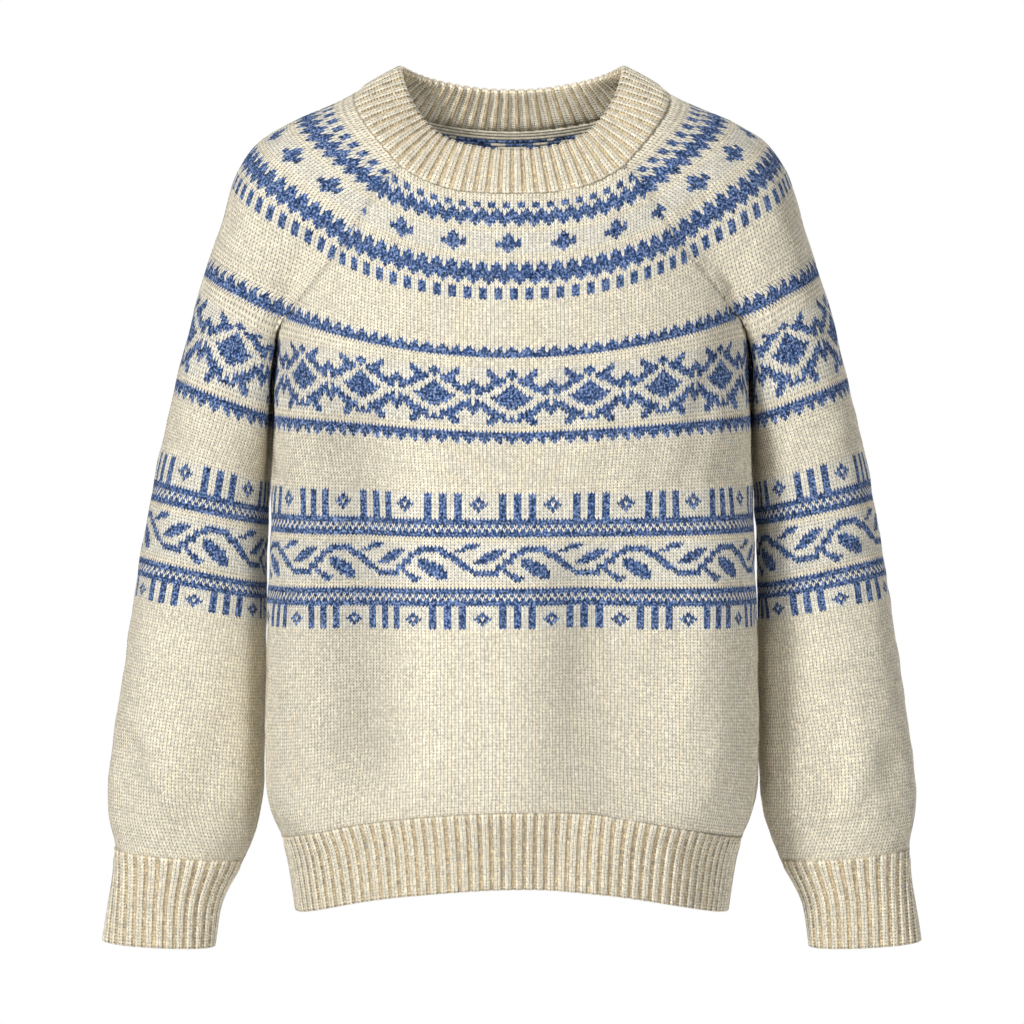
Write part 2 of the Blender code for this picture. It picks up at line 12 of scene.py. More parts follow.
import bpy
import numpy as np
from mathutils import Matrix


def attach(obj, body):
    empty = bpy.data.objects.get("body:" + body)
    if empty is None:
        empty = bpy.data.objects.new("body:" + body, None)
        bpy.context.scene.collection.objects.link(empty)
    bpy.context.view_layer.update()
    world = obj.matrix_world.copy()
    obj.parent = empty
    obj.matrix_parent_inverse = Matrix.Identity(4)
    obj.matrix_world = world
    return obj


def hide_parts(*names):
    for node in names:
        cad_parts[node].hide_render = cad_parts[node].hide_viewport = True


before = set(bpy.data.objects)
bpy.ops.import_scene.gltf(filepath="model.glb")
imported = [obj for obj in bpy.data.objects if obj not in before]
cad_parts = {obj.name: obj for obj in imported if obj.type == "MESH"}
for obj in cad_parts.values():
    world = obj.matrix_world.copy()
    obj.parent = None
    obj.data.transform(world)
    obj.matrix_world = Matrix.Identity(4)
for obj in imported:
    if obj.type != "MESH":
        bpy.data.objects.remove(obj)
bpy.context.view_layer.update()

# Driving sizes, metres.
WALL = 0.0028  # stranded knit
UNDERARM_Y = 0.022
UNDERARM_Z = -0.186
FRONT_CROTCH = 3.7  # how fast the join between arm and trunk climbs forwards
BACK_CROTCH = 12.0  # and backwards
BLEND = 0.072  # width of the soft join over the yoke
BLEND_RISE = 0.100
ARM_SQUARENESS = 2.15
ARM_CLEAR = 0.0008  # between arm and trunk where they join
ARM_CLEAR_MOST = 0.0040  # and lower down
ARM_CLEAR_GROWTH = 0.12
ARM_FLAT = 0.010  # rounding of the arm's flat side
NECK_CENTRE_Y = -0.010

UNDERARM_ROW = 62
UNDERARM_TILT = 0.05  # fall of the sleeve's rows towards the front, at the underarm
LEVEL_ROW = 104  # sleeve row by which that fall has gone
CROTCH_ROW = 54

# Trunk sections: height, half width, front, back, squareness.
TORSO = [
    (0.040, 0.088, 0.060, 0.044, 2.10),
    (0.000, 0.110, 0.072, 0.062, 2.15),
    (-0.040, 0.142, 0.081, 0.082, 2.20),
    (-0.080, 0.165, 0.095, 0.100, 2.30),
    (-0.120, 0.178, 0.109, 0.114, 2.40),
    (-0.160, 0.183, 0.119, 0.122, 2.45),
    (-0.200, 0.1845, 0.1245, 0.125, 2.45),
    (-0.250, 0.1860, 0.127, 0.125, 2.40),
    (-0.320, 0.1885, 0.127, 0.122, 2.38),
    (-0.400, 0.1912, 0.126, 0.120, 2.38),
    (-0.470, 0.1928, 0.125, 0.119, 2.38),
    (-0.525, 0.1926, 0.123, 0.118, 2.38),
    (-0.556, 0.1880, 0.120, 0.116, 2.38),
    (-0.576, 0.1790, 0.116, 0.113, 2.36),
    (-0.600, 0.1730, 0.1135, 0.111, 2.34),
    (-0.635, 0.1680, 0.112, 0.110, 2.32),
]
# Arm sections: along the arm, x, y, z, half width, half depth.
ARM = [
    (0.00, 0.0874, 0.002, -0.0591, 0.0640, 0.070),
    (0.10, 0.1312, 0.002, -0.0718, 0.0670, 0.073),
    (0.20, 0.1580, 0.004, -0.0866, 0.0667, 0.074),
    (0.30, 0.1783, 0.009, -0.1143, 0.0539, 0.071),
    (0.40, 0.2025, 0.019, -0.1664, 0.0467, 0.0665),
    (0.50, 0.2232, 0.029, -0.2353, 0.0440, 0.0625),
    (0.62, 0.2385, 0.037, -0.3150, 0.0470, 0.0590),
    (0.76, 0.2475, 0.040, -0.4080, 0.0535, 0.0580),
    (0.90, 0.2550, 0.038, -0.5030, 0.0602, 0.0580),
    (0.965, 0.2588, 0.035, -0.5460, 0.0610, 0.0560),
    (1.02, 0.2640, 0.032, -0.5840, 0.0533, 0.0470),
    (1.047, 0.2683, 0.030, -0.6030, 0.0467, 0.0400),
    (1.074, 0.2727, 0.028, -0.6220, 0.0431, 0.0350),
    (1.10, 0.2760, 0.026, -0.6410, 0.0429, 0.0330),
    (1.14, 0.2800, 0.023, -0.6700, 0.0433, 0.0325),
]
# Raglan seams down to the join of arm and trunk: row, x, y, z.
SEAM_FRONT = [
    (0, 0.0848, -0.074, -0.0545),
    (4, 0.0922, -0.077, -0.0590),
    (8, 0.1008, -0.083, -0.0672),
    (16, 0.1135, -0.090, -0.0825),
    (26.5, 0.1285, -0.090, -0.1020),
    (34, 0.1388, -0.087, -0.1160),
    (44, 0.1560, -0.0762, -0.1385),
    (54, 0.1745, -0.0585, -0.1620),
    (58, 0.1795, -0.034, -0.1748),
    (62, 0.1830, 0.022, -0.1860),
]
SEAM_BACK = [
    (0, 0.0800, 0.052, -0.0100),
    (8, 0.0940, 0.066, -0.0270),
    (16, 0.1075, 0.078, -0.0445),
    (26.5, 0.1215, 0.088, -0.0690),
    (34, 0.1320, 0.091, -0.0880),
    (44, 0.1490, 0.086, -0.1180),
    (54, 0.1660, 0.074, -0.1530),
    (58, 0.1740, 0.0587, -0.1698),
    (62, 0.1830, 0.022, -0.1860),
]
# Trunk rows: row, height at the side, front centre, back centre, bend of the front row.
BODY = [
    (0, 0.0, -0.0729, -0.0185, 3.0),
    (4, 0.0, -0.0810, -0.0280, 2.9),
    (8, 0.0, -0.0905, -0.0385, 2.7),
    (16, 0.0, -0.1092, -0.0590, 2.5),
    (26.5, 0.0, -0.1321, -0.0855, 2.3),
    (34, 0.0, -0.1490, -0.1045, 2.3),
    (54, 0.0, -0.1935, -0.1545, 2.1),
    (62, -0.1850, -0.2105, -0.1765, 1.7),
    (70, -0.2085, -0.2295, -0.2000, 1.45),
    (83, -0.2510, -0.2610, -0.2385, 1.4),
    (102, -0.2965, -0.3005, -0.2915, 1.5),
    (111.5, -0.3215, -0.3233, -0.3175, 2.0),
    (115.5, -0.3315, -0.3325, -0.3285, 2.0),
    (134.5, -0.3780, -0.3757, -0.3765, 2.0),
    (138.5, -0.3880, -0.3848, -0.3865, 2.0),
    (147.5, -0.4075, -0.4043, -0.4060, 2.0),
    (210, -0.5730, -0.5454, -0.5600, 2.0),
    (235, -0.6300, -0.6037, -0.6125, 2.0),
]
# Sleeve rows: row, x and z of the outermost point, fall per metre inwards.
SPINE = [
    (0, 0.1190, 0.0095, 0.00),
    (4, 0.1370, 0.0010, 0.20),
    (8, 0.1545, -0.0055, 0.38),
    (16, 0.1805, -0.0165, 0.62),
    (26.5, 0.2048, -0.0345, 0.74),
    (34, 0.2150, -0.0550, 0.70),
    (44, 0.2275, -0.0880, 0.62),
    (54, 0.2378, -0.1240, 0.52),
    (62, 0.2475, -0.1500, 0.44),
    (70, 0.2540, -0.1745, 0.40),
    (83, 0.2640, -0.2230, 0.37),
    (102, 0.2760, -0.2710, 0.29),
    (111.5, 0.2830, -0.2965, 0.25),
    (115.5, 0.2860, -0.3075, 0.225),
    (134.5, 0.2950, -0.3575, 0.21),
    (138.5, 0.2970, -0.3675, 0.19),
    (147.5, 0.3010, -0.3860, 0.18),
    (225, 0.3190, -0.5870, 0.085),
    (253, 0.3220, -0.6580, 0.055),
]
# Soft upright folds of the trunk: 1 for the back, x at FOLD_LEVEL, where it begins, half
# width, depth inwards, drift in x per metre up.
TRUNK_FOLDS = [
    (0, -0.107, -0.20, 0.056, 0.0068, 0.03),
    (0, -0.032, -0.33, 0.046, -0.0030, 0.16),
    (0, 0.043, -0.31, 0.046, 0.0056, 0.19),
    (0, 0.124, -0.36, 0.048, -0.0028, 0.05),
    (1, 0.101, -0.24, 0.060, 0.0062, -0.08),
    (1, 0.022, -0.36, 0.050, -0.0026, -0.14),
    (1, -0.052, -0.30, 0.048, 0.0050, 0.10),
    (1, -0.126, -0.40, 0.045, -0.0030, 0.04),
]
FOLD_LEVEL = -0.51
FOLD_RISE = 0.16  # how gradually a fold begins
# Creases: -1 front or 1 back, from x and z to x and z, half width,
# height outwards.
CREASES = [
    (-1, -0.128, -0.262, -0.120, -0.495, 0.034, -0.0105),
    (-1, -0.070, -0.300, -0.066, -0.510, 0.030, 0.0045),
    (-1, 0.050, -0.370, 0.064, -0.540, 0.027, -0.0085),
    (-1, -0.014, -0.340, -0.002, -0.520, 0.030, 0.0038),
    (-1, 0.148, -0.350, 0.144, -0.525, 0.030, 0.0065),
    (-1, -0.172, -0.196, -0.128, -0.262, 0.013, -0.0026),
    (-1, 0.170, -0.190, 0.138, -0.250, 0.014, -0.0030),
    (-1, -0.182, -0.128, -0.190, -0.180, 0.012, 0.0022),
    (-1, -0.216, -0.140, -0.196, -0.182, 0.012, -0.0022),
    (-1, 0.186, -0.120, 0.199, -0.178, 0.014, 0.0020),
    (-1, 0.214, -0.150, 0.203, -0.184, 0.011, -0.0024),
    (-1, -0.276, -0.389, -0.220, -0.412, 0.011, -0.0024),
    (-1, -0.270, -0.360, -0.222, -0.388, 0.010, 0.0018),
    (-1, 0.279, -0.352, 0.226, -0.380, 0.011, -0.0022),
    (-1, 0.286, -0.420, 0.236, -0.438, 0.010, 0.0017),
    (-1, -0.292, -0.520, -0.262, -0.566, 0.011, -0.0030),
    (-1, -0.226, -0.500, -0.236, -0.560, 0.010, -0.0026),
    (-1, -0.262, -0.480, -0.252, -0.560, 0.010, 0.0020),
    (-1, 0.296, -0.510, 0.268, -0.562, 0.011, -0.0028),
    (-1, 0.232, -0.490, 0.247, -0.566, 0.011, -0.0028),
    (-1, 0.268, -0.474, 0.262, -0.552, 0.010, 0.0019),
    (1, 0.102, -0.250, 0.094, -0.480, 0.028, -0.0078),
    (1, -0.058, -0.310, -0.068, -0.520, 0.029, -0.0070),
    (1, 0.020, -0.330, 0.028, -0.500, 0.028, 0.0028),
    (1, -0.140, -0.330, -0.132, -0.480, 0.025, 0.0026),
    (1, 0.172, -0.180, 0.120, -0.245, 0.015, -0.0028),
    (1, -0.166, -0.176, -0.126, -0.236, 0.014, -0.0026),
    (1, 0.272, -0.372, 0.222, -0.398, 0.011, -0.0022),
    (1, -0.276, -0.364, -0.228, -0.386, 0.011, -0.0022),
    (1, 0.290, -0.515, 0.262, -0.563, 0.011, -0.0027),
    (1, -0.292, -0.506, -0.266, -0.560, 0.011, -0.0028),
]
# Folds of the sleeve: place along it, half length, degrees round from the outside by way
# of the front, half width in degrees, depth inwards.
SLEEVE_FOLDS = [
    (0.955, 0.110, 38, 30, 0.0032),
    (0.940, 0.120, 69, 26, -0.0022),
    (0.965, 0.100, 101, 32, 0.0034),
    (0.950, 0.110, -28, 30, 0.0028),
    (0.945, 0.120, -62, 28, -0.0022),
    (0.960, 0.105, -104, 34, 0.0034),
    (0.600, 0.050, -75, 62, 0.0026),
    (0.690, 0.045, -95, 55, 0.0018),
    (0.520, 0.050, 88, 46, 0.0020),
    (0.635, 0.045, 108, 50, 0.0016),
]
# Upper edge of the neckband: degrees round from the front, radius, height.
NECK_TOP = [
    (-35, 0.0709, -0.0330),
    (0, 0.0640, -0.0385),
    (35, 0.0709, -0.0330),
    (49, 0.0766, -0.0245),
    (63, 0.0818, -0.0075),
    (76, 0.0845, 0.0098),
    (90, 0.0868, 0.0255),
    (103, 0.0865, 0.0275),
    (120, 0.0822, 0.0225),
    (145, 0.0696, 0.0155),
    (180, 0.0620, 0.0126),
    (215, 0.0696, 0.0155),
]

# Rows at which the cloth is first settled, and points along each row then and later.
BODY_COARSE = list(range(0, 54, 3)) + [54, 56, 58, 60, 62, 65] + list(range(70, 211, 5))
HEM_COARSE = list(range(210, 236, 5))
SLEEVE_COARSE = list(range(0, 54, 3)) + [54, 56, 58, 60, 62, 65] + list(range(70, 226, 5))
CUFF_COARSE = [225, 229, 233, 238, 243, 248, 253]
COARSE = 33
SMOOTH = 97
INNER_FINE = 36  # rows that keep every line of the inner face, where the neck shows it
INNER_STEP = 4  # rows and half stitches between the lines of the rest of the inner face

# Stitches: width by row, metres.
STITCH_WIDTH = [(0, 0.00282), (20, 0.00282), (30, 0.00295), (85, 0.00295), (100, 0.00282)]
STITCH_SINK = 0.00045  # how far the edge of a stitch lies below its middle
STITCH_JITTER = 0.00005
# Painted shade in creases, and painted light where the cloth stands above its smooth form:
CREASE_PAINTED_SHADE = 21.0  # loss of tone per metre that a crease lies below the smooth form
WAVE_HEIGHT = 0.0005
WAVES = 7
WAVE_SIZES = (9, 30)  # stitches from crest to crest
WAVE_SUM = 2.6  # what so many waves come to together, at random
SEAM_SINK = 0.0008  # how far the cloth dips at a seam, and how far from it
SEAM_REACH = 0.0026
SEAM_DARK = 0.0014  # how far from a seam the cloth is darker, and by how much
SEAM_SHADE = 0.16

# One rib: share of its width, height, place in the stitch (0 edge, 1 middle).
RIB = [
    (0.000, -1.00, 0.75),
    (0.095, -0.75, 0.50),
    (0.190, 0.20, 0.12),
    (0.345, 1.00, 1.0),
    (0.500, 0.65, 0.0),
    (0.655, 1.00, 1.0),
    (0.810, 0.20, 0.12),
    (0.905, -0.75, 0.50),
]
RIB_HEIGHT = 0.0015
RIB_CLOTH = 0.0030
RIB_START = 0.15  # share of its height that a rib has at its join
RIB_BACK = 0.8  # share of a rib's height that its back has
RIB_SPREAD = 0.10  # random change of height from column to column
RIB_RISE = 2.5  # rows in which a rib gets its height
WALL_RISE = 3  # and its wall its thickness
EDGE_ROUND = 0.5
# Painted shade in the furrows between ribs, and its random spread:
TROUGH_PAINTED_SHADE = (0.69, 0.62, 0.51)  # tone of the furrows between ribs
TROUGH_SHADE_SPREAD = 0.16
LAP = 0.0002  # how far the first row of a rib stands over the cloth it is knitted to
LAP_ROWS = 0.35
HEM_PITCH = 0.00845
CUFF_PITCH = 0.0082
NECK_PITCH = 0.0094
NECK_ROWS = 16
NECK_REACH = 0.955  # share of the way to the band's upper edge before it turns over
NECK_SWELL = 0.0008
BAND_CLOTH = 0.0055  # the neckband is double

# Yarn colours.
CREAM = (0.82, 0.76, 0.62)
RIM_CREAM = np.array(CREAM) * 0.9
# Painted shade: the inner faces take the yarn colours a little darker.
INSIDE_PAINTED_SHADE = 0.94
# Painted light: the inside of the neckband is made lighter.
NECK_INSIDE_PAINTED_LIGHT = 1.3
FLOAT_SHARE = 0.3  # least share of blue inside a row that has any blue figure
CREAM_SPREAD = 0.07  # random change of tone from stitch to stitch
BLUE_SPREAD = 0.35
PALE_SPREAD = 0.10
BETWEEN = (0.95, 0.985, 1.06)  # tone of cream stitches in the bands, over blue floats
BLUE = (0.020, 0.056, 0.165)
PALE = (0.35, 0.48, 0.82)  # lights in the blue yarn

# Patches of the flat sheet: corner, width, height.
OUTER_PATCH = (0.005, 0.36, 0.99, 0.635)
INNER_PATCH = (0.005, 0.06, 0.99, 0.29)
RIM_PATCH = (0.005, 0.005, 0.99)
RIM_STEP = 0.012
WHOLE_PATCH = (0.005, 0.06, 0.99, 0.93)
RIB_RIM = (0.005, 0.045, 0.99, 0.008)

# Parts of charts, a letter for each stitch: # is blue.
TEETH = ["#...#...#..", "##.###.##.#", "#" * 11, "#" * 11]
BORDER = ["##", "##", "#.", ".#", "##", "##"]
BARS = "##..##..##"
BARE = ["." * 9]
SPOT = ["....#....", "...###...", "..##.##..", "...###...", "....#...."]
IN_STEP = (0, 0, 0)
# Bands of figures: first row, shift of the columns on the body and each sleeve, chart.
BANDS = [
    (3, (2, 2, 2), ["##..", "##..", "..#.", ".###", "####", "####", "##.#", "#..."]),
    (13, (8, 15, 13), [
        ".......#.......",
        "......###......",
        "......###.#....",
        "....#######....",
        "....#######....",
        "......###......",
        ".......#.......",
    ]),
    (23, IN_STEP, ["#...", "##.#", "##.#", "####", "####", "####", ".###", "..#."]),
    (32, IN_STEP, ["##.."] * 4),
    (52, IN_STEP, TEETH),
    (60, (10, 18, 2), [
        "....#.....#.....#...",
        "....##...###...##...",
        "....###..###..###...",
        ".....####.#.####....",
        "#....####...####....",
        "##..####..#..####..#",
        "######...###...#####",
        ".####...#####...####",
        ".##....#######....##",
        ".....###########....",
        ".#....#########....#",
        ".###...#######...###",
        "#####....###....####",
        "##.####.......####.#",
        "#...#####...#####...",
        ".....####.#.####....",
        "....###.#####.###...",
        "....##.........##...",
    ]),
    (80, IN_STEP, TEETH[::-1]),
    (102, (3, 15, 12), [BARS + line + "." for line in BARE + SPOT + BARE * 2]),
    (110, IN_STEP, BORDER),
    (118, (14, 14, 14), [
        "..####......................",
        ".####............#######....",
        "##.......####...#########..#",
        ".......#####..####.....####.",
        "......#####...##........####",
        "#....#####..###..###......##",
        "##..####....###..#####.....#",
        "###.......###....#######....",
        ".###......###.....######....",
        "...########.##.....######...",
        "....#######..###....#####...",
        "..............####....###...",
        "...............##...........",
    ]),
    (133, IN_STEP, BORDER),
    (139, (3, 3, 3), [BARS + line for line in BARE * 2 + SPOT + BARE]),
]

# The knitted pieces laid flat: width and length, area, what holds them.
CUTS = {
    "front_panel": ((0.50, 0.55), 0.24, ["neckband"]),
    "back_panel": ((0.50, 0.60), 0.25, ["neckband"]),
    "sleeve_left": ((0.40, 0.62), 0.19, ["neckband"]),
    "sleeve_right": ((0.40, 0.62), 0.19, ["neckband"]),
    "hem_rib_front": ((0.48, 0.06), 0.027, ["front_panel"]),
    "hem_rib_back": ((0.48, 0.06), 0.027, ["back_panel"]),
    "cuff_left": ((0.26, 0.072), 0.017, ["sleeve_left"]),
    "cuff_right": ((0.26, 0.072), 0.017, ["sleeve_right"]),
    "neckband": ((0.62, 0.08), 0.042, ["front_panel", "back_panel"]),
}

NODE_SPACING = 180

# The view and the light.
CAMERA_DISTANCE = 4.0
CAMERA_ELEVATION = 2.0
VIEW_WIDTH = 0.8018
LOOK_AT = (0.0, 0.0, -0.32)
FLOOR = (2.4, 2.4, -1.25)
FILL_LIGHT = 0.20
LAMPS = [
    ("key", (-2.3, -3.2, 1.95), (0, 0, -0.25), 0.9, 160, (1.0, 0.985, 0.955)),
    ("front", (1.5, -3.6, 0.35), (0, 0, -0.2), 1.0, 44, (1.0, 0.99, 0.97)),
    ("back", (1.6, 3.2, 1.4), (0, 0, -0.2), 1.4, 60, (1.0, 1.0, 1.0)),
]


def spline(table):
    """A natural cubic through a table whose first column is the one to read by."""
    t = np.asarray(table, float)
    x, y = t[:, 0], t[:, 1:]
    if x[1] < x[0]:
        x, y = x[::-1], y[::-1]
    n = len(x)
    h = np.diff(x)
    a = np.zeros((n, n))
    b = np.zeros((n, y.shape[1]))
    a[0, 0] = a[-1, -1] = 1.0
    for i in range(1, n - 1):
        a[i, i - 1], a[i, i], a[i, i + 1] = h[i - 1], 2 * (h[i - 1] + h[i]), h[i]
        b[i] = 6 * ((y[i + 1] - y[i]) / h[i] - (y[i] - y[i - 1]) / h[i - 1])
    return x, y, np.linalg.solve(a, b)


def read(s, q):
    """The values of a spline where its first column is q."""
    x, y, m = s
    c = np.clip(np.asarray(q, float), x[0], x[-1])
    i = np.clip(np.searchsorted(x, c) - 1, 0, len(x) - 2)
    h = (x[i + 1] - x[i])[..., None]
    u = (c - x[i])[..., None]
    v = (x[i + 1] - c)[..., None]
    ends = (y[i] / h - m[i] * h / 6) * v + (y[i + 1] / h - m[i + 1] * h / 6) * u
    return m[i] * v**3 / (6 * h) + m[i + 1] * u**3 / (6 * h) + ends


def steady(table, q):
    """A curve through a table that never overshoots it."""
    t = np.asarray(table, float)
    x, y = t[:, 0], t[:, 1:]
    h = np.diff(x)[:, None]
    d = np.diff(y, axis=0) / h
    w1, w2 = 2 * h[1:] + h[:-1], h[1:] + 2 * h[:-1]
    same = d[:-1] * d[1:] > 0
    den = w1 / np.where(same, d[:-1], 1) + w2 / np.where(same, d[1:], 1)
    m = np.vstack([d[:1], np.where(same, (w1 + w2) / den, 0), d[-1:]])
    q = np.asarray(q, float)
    i = np.clip(np.searchsorted(x, q, side="right") - 1, 0, len(x) - 2)
    g = (x[i + 1] - x[i])[..., None]
    u = (q - x[i])[..., None] / g
    low = (1 + 2 * u) * (1 - u) ** 2 * y[i] + u * (1 - u) ** 2 * g * m[i]
    return low + u * u * (3 - 2 * u) * y[i + 1] + u * u * (u - 1) * g * m[i + 1]


TORSO_CURVE = spline(TORSO)
ARM_CURVE = spline(ARM)
ARM_T = np.linspace(ARM[0][0], ARM[-1][0], 93)
ARM_POINTS = read(ARM_CURVE, ARM_T)


def ease(t, low, high):
    """0 up to low and 1 from high, smoothly between."""
    u = np.clip((t - low) / (high - low), 0, 1)
    return u * u * (3 - 2 * u)


def crotch(y):
    """Height at which arm and trunk join, for a place this far forward or back."""
    d = y - UNDERARM_Y
    return UNDERARM_Z + np.where(d < 0, FRONT_CROTCH, BACK_CROTCH) * d * d


def bump(u):
    """1 in the middle, falling smoothly to 0 at -1 and 1."""
    return np.maximum(1 - u * u, 0) ** 3


def trunk_folds(p):
    x, y, z = p[..., 0], p[..., 1], p[..., 2]
    total = np.zeros(x.shape)
    for back, centre, top, width, depth, drift in TRUNK_FOLDS:
        across_fold = (x - centre - drift * (z - FOLD_LEVEL)) / width
        face = ease(y if back else -y, 0.0, 0.05)
        total += depth * bump(across_fold) * ease(top - z, 0, FOLD_RISE) * face
    return total


def sleeve_folds(t, turn):
    total = np.zeros(t.shape)
    for place, length, centre, width, depth in SLEEVE_FOLDS:
        apart = (np.degrees(turn) - centre + 180) % 360 - 180
        total += depth * bump((t - place) / length) * bump(apart / width)
    return total


def torso(p):
    """Roughly how far places lie outside the trunk; less than 0 inside it."""
    s = read(TORSO_CURVE, p[..., 2])
    n = s[..., 3]
    x = np.abs(p[..., 0]) / s[..., 0]
    y = np.abs(p[..., 1]) / np.where(p[..., 1] < 0, s[..., 1], s[..., 2])
    rho = (x**n + y**n + 1e-9) ** (1 / n)
    return np.hypot(p[..., 0], p[..., 1]) * (1 - 1 / rho) + trunk_folds(p)


def arm(p):
    """The same for the arms: each place is read at its nearest point of the axis."""
    q = np.stack([np.abs(p[..., 0]), p[..., 1], p[..., 2]], -1).reshape(-1, 3)
    d = ((q[:, None, :] - ARM_POINTS[None, :, :3]) ** 2).sum(-1)
    t = ARM_T[d.argmin(1)]
    e = 1e-3
    for _ in range(4):
        c = read(ARM_CURVE, t)[:, :3]
        ahead, behind = read(ARM_CURVE, t + e)[:, :3], read(ARM_CURVE, t - e)[:, :3]
        along = (ahead - behind) / (2 * e)
        turn = (ahead - 2 * c + behind) / e**2
        r = q - c
        pace = (along * along).sum(-1)
        slide = (r * along).sum(-1) / np.maximum(pace - (r * turn).sum(-1), 0.5 * pace)
        t = np.clip(t + np.clip(slide, -0.03, 0.03), ARM_T[0] + e, ARM_T[-1] - e)
    c = read(ARM_CURVE, t)
    along = read(ARM_CURVE, t + e)[:, :3] - read(ARM_CURVE, t - e)[:, :3]
    along /= np.linalg.norm(along, axis=1)[:, None]
    side = np.stack([-along[:, 2], np.zeros(len(along)), along[:, 0]], -1)
    side /= np.linalg.norm(side, axis=1)[:, None]
    fore = np.cross(along, side)
    r = q - c[:, :3]
    u, w, off = (r * side).sum(-1), (r * fore).sum(-1), (r * along).sum(-1)
    n = ARM_SQUARENESS
    rho = (np.abs(u / c[:, 3]) ** n + np.abs(w / c[:, 4]) ** n + 1e-9) ** (1 / n)
    v = np.hypot(u, w) * (1 - 1 / rho) + sleeve_folds(t, np.arctan2(w, u))
    past = np.sqrt(np.maximum(v, 0) ** 2 + off**2) + np.minimum(v, 0)
    return np.where(np.abs(off) > 1e-3, past, v).reshape(p.shape[:-1])


def soft_min(a, b, k):
    """The lesser of two, with a join of width k rounded off."""
    k = np.maximum(k, 1e-6)
    h = np.maximum(k - np.abs(a - b), 0) / k
    return np.minimum(a, b) - h**3 * k / 6


def sleeve_form(p):
    """The arm, flattened where it lies against the trunk."""
    rise = p[..., 2] - crotch(p[..., 1])
    below = np.minimum(ARM_CLEAR - rise * ARM_CLEAR_GROWTH, ARM_CLEAR_MOST)
    clear = np.where(rise < 0, below, ARM_CLEAR - rise * 1.5)
    return -soft_min(-arm(p), torso(p) - clear, ARM_FLAT)


def yoke_form(p):
    rise = p[..., 2] - crotch(p[..., 1])
    return soft_min(torso(p), sleeve_form(p), BLEND * ease(rise, 0, BLEND_RISE))


def body_side(p):
    return np.where(p[..., 2] < crotch(p[..., 1]), torso(p), yoke_form(p))


def arm_side(p):
    return np.where(p[..., 2] < crotch(p[..., 1]), sleeve_form(p), yoke_form(p))


def gradient(form, p, e=2e-4):
    g = np.empty_like(p)
    for i in range(3):
        d = np.zeros(3)
        d[i] = e
        g[..., i] = (form(p + d) - form(p - d)) / (2 * e)
    return g


def even(rows, n):
    """Each row with n points at equal distances along it."""
    out = np.empty((len(rows), n, 3))
    for i, r in enumerate(rows):
        s = np.concatenate([[0], np.cumsum(np.linalg.norm(np.diff(r, axis=0), axis=1))])
        for k in range(3):
            out[i, :, k] = np.interp(np.linspace(0, s[-1], n), s, r[:, k])
    return out


def settle(form, surface, p, rounds=20):
    """Draws each row, held at its ends, onto the form inside its own row surface."""
    for k in range(rounds):
        for _ in range(2 if k < rounds - 1 else 4):
            f = np.clip(form(p), -0.008, 0.008)
            a = gradient(form, p)
            g, b = surface(p)
            g = np.clip(g, -0.02, 0.02)
            aa, bb, ab = (a * a).sum(-1) + 0.02, (b * b).sum(-1) + 0.02, (a * b).sum(-1)
            det = np.maximum(aa * bb - ab * ab, 0.03)
            u, v = (bb * f - ab * g) / det, (aa * g - ab * f) / det
            p[:, 1:-1] -= (u[..., None] * a + v[..., None] * b)[:, 1:-1]
        if k < rounds - 1:
            p = even(p, p.shape[1])
    return p


def raglan(table, rows):
    """Points of a raglan seam, from the neck down to the underarm."""
    p = read(spline(table), rows)
    for _ in range(8):
        f, g = yoke_form(p), gradient(yoke_form, p)
        push = np.clip(f, -0.01, 0.01) / np.maximum((g * g).sum(-1), 0.05)
        p = p - np.where(rows < CROTCH_ROW, push, 0)[:, None] * g
    low = rows >= CROTCH_ROW
    p[low, 2] = crotch(p[low, 1])
    for _ in range(6):
        p[low, 0] -= torso(p)[low]
    return p


def trunk_side(rows):
    z = steady([b[:2] for b in BODY if b[0] >= UNDERARM_ROW], rows)[..., 0]
    y = UNDERARM_Y - 0.008 * ease(-z, 0.20, 0.40)
    p = np.stack([read(TORSO_CURVE, z)[..., 0], y, z], -1)
    for _ in range(6):
        p[..., 0] -= torso(p)
    return p


def body_ends(rows, back):
    up = rows <= UNDERARM_ROW
    end = np.empty((len(rows), 3))
    if up.any():
        end[up] = raglan(SEAM_BACK if back else SEAM_FRONT, rows[up])
    if (~up).any():
        end[~up] = trunk_side(rows[~up])
    return end


def body_rows(rows, n, back=False):
    """The rows of the front or back panel, from the wearer's right seam to the left."""
    rows = np.asarray(rows, float)
    end = body_ends(rows, back)
    level = steady(BODY, rows)
    centre = level[:, 2] if back else level[:, 1]
    bend = np.full(len(rows), 2.0) if back else level[:, 3]
    way = 1.0 if back else -1.0
    u = np.linspace(-1, 1, n)
    turn = np.arctan2(end[:, 0], np.maximum(way * end[:, 1], -0.06))[:, None] * u
    reach = np.hypot(end[:, 0], end[:, 1])[:, None] * (0.8 + 0.2 * u**2)
    p = np.stack([reach * np.sin(turn), way * reach * np.cos(turn), np.zeros_like(turn)], -1)
    p[..., 2] = centre[:, None] + (end[:, 2] - centre)[:, None] * np.abs(u) ** bend[:, None]
    p[:, 0] = end * [-1, 1, 1]
    p[:, -1] = end

    def surface(q):
        edge = end[:, 0][:, None]
        t = np.minimum(np.abs(q[..., 0]) / edge, 1.08)
        drop = (end[:, 2] - centre)[:, None]
        slope = drop * bend[:, None] * t ** (bend[:, None] - 1) / edge * np.sign(q[..., 0])
        g = np.stack([-slope, np.zeros_like(slope), np.ones_like(slope)], -1)
        return q[..., 2] - centre[:, None] - drop * t ** bend[:, None], g

    return settle(body_side, surface, p)


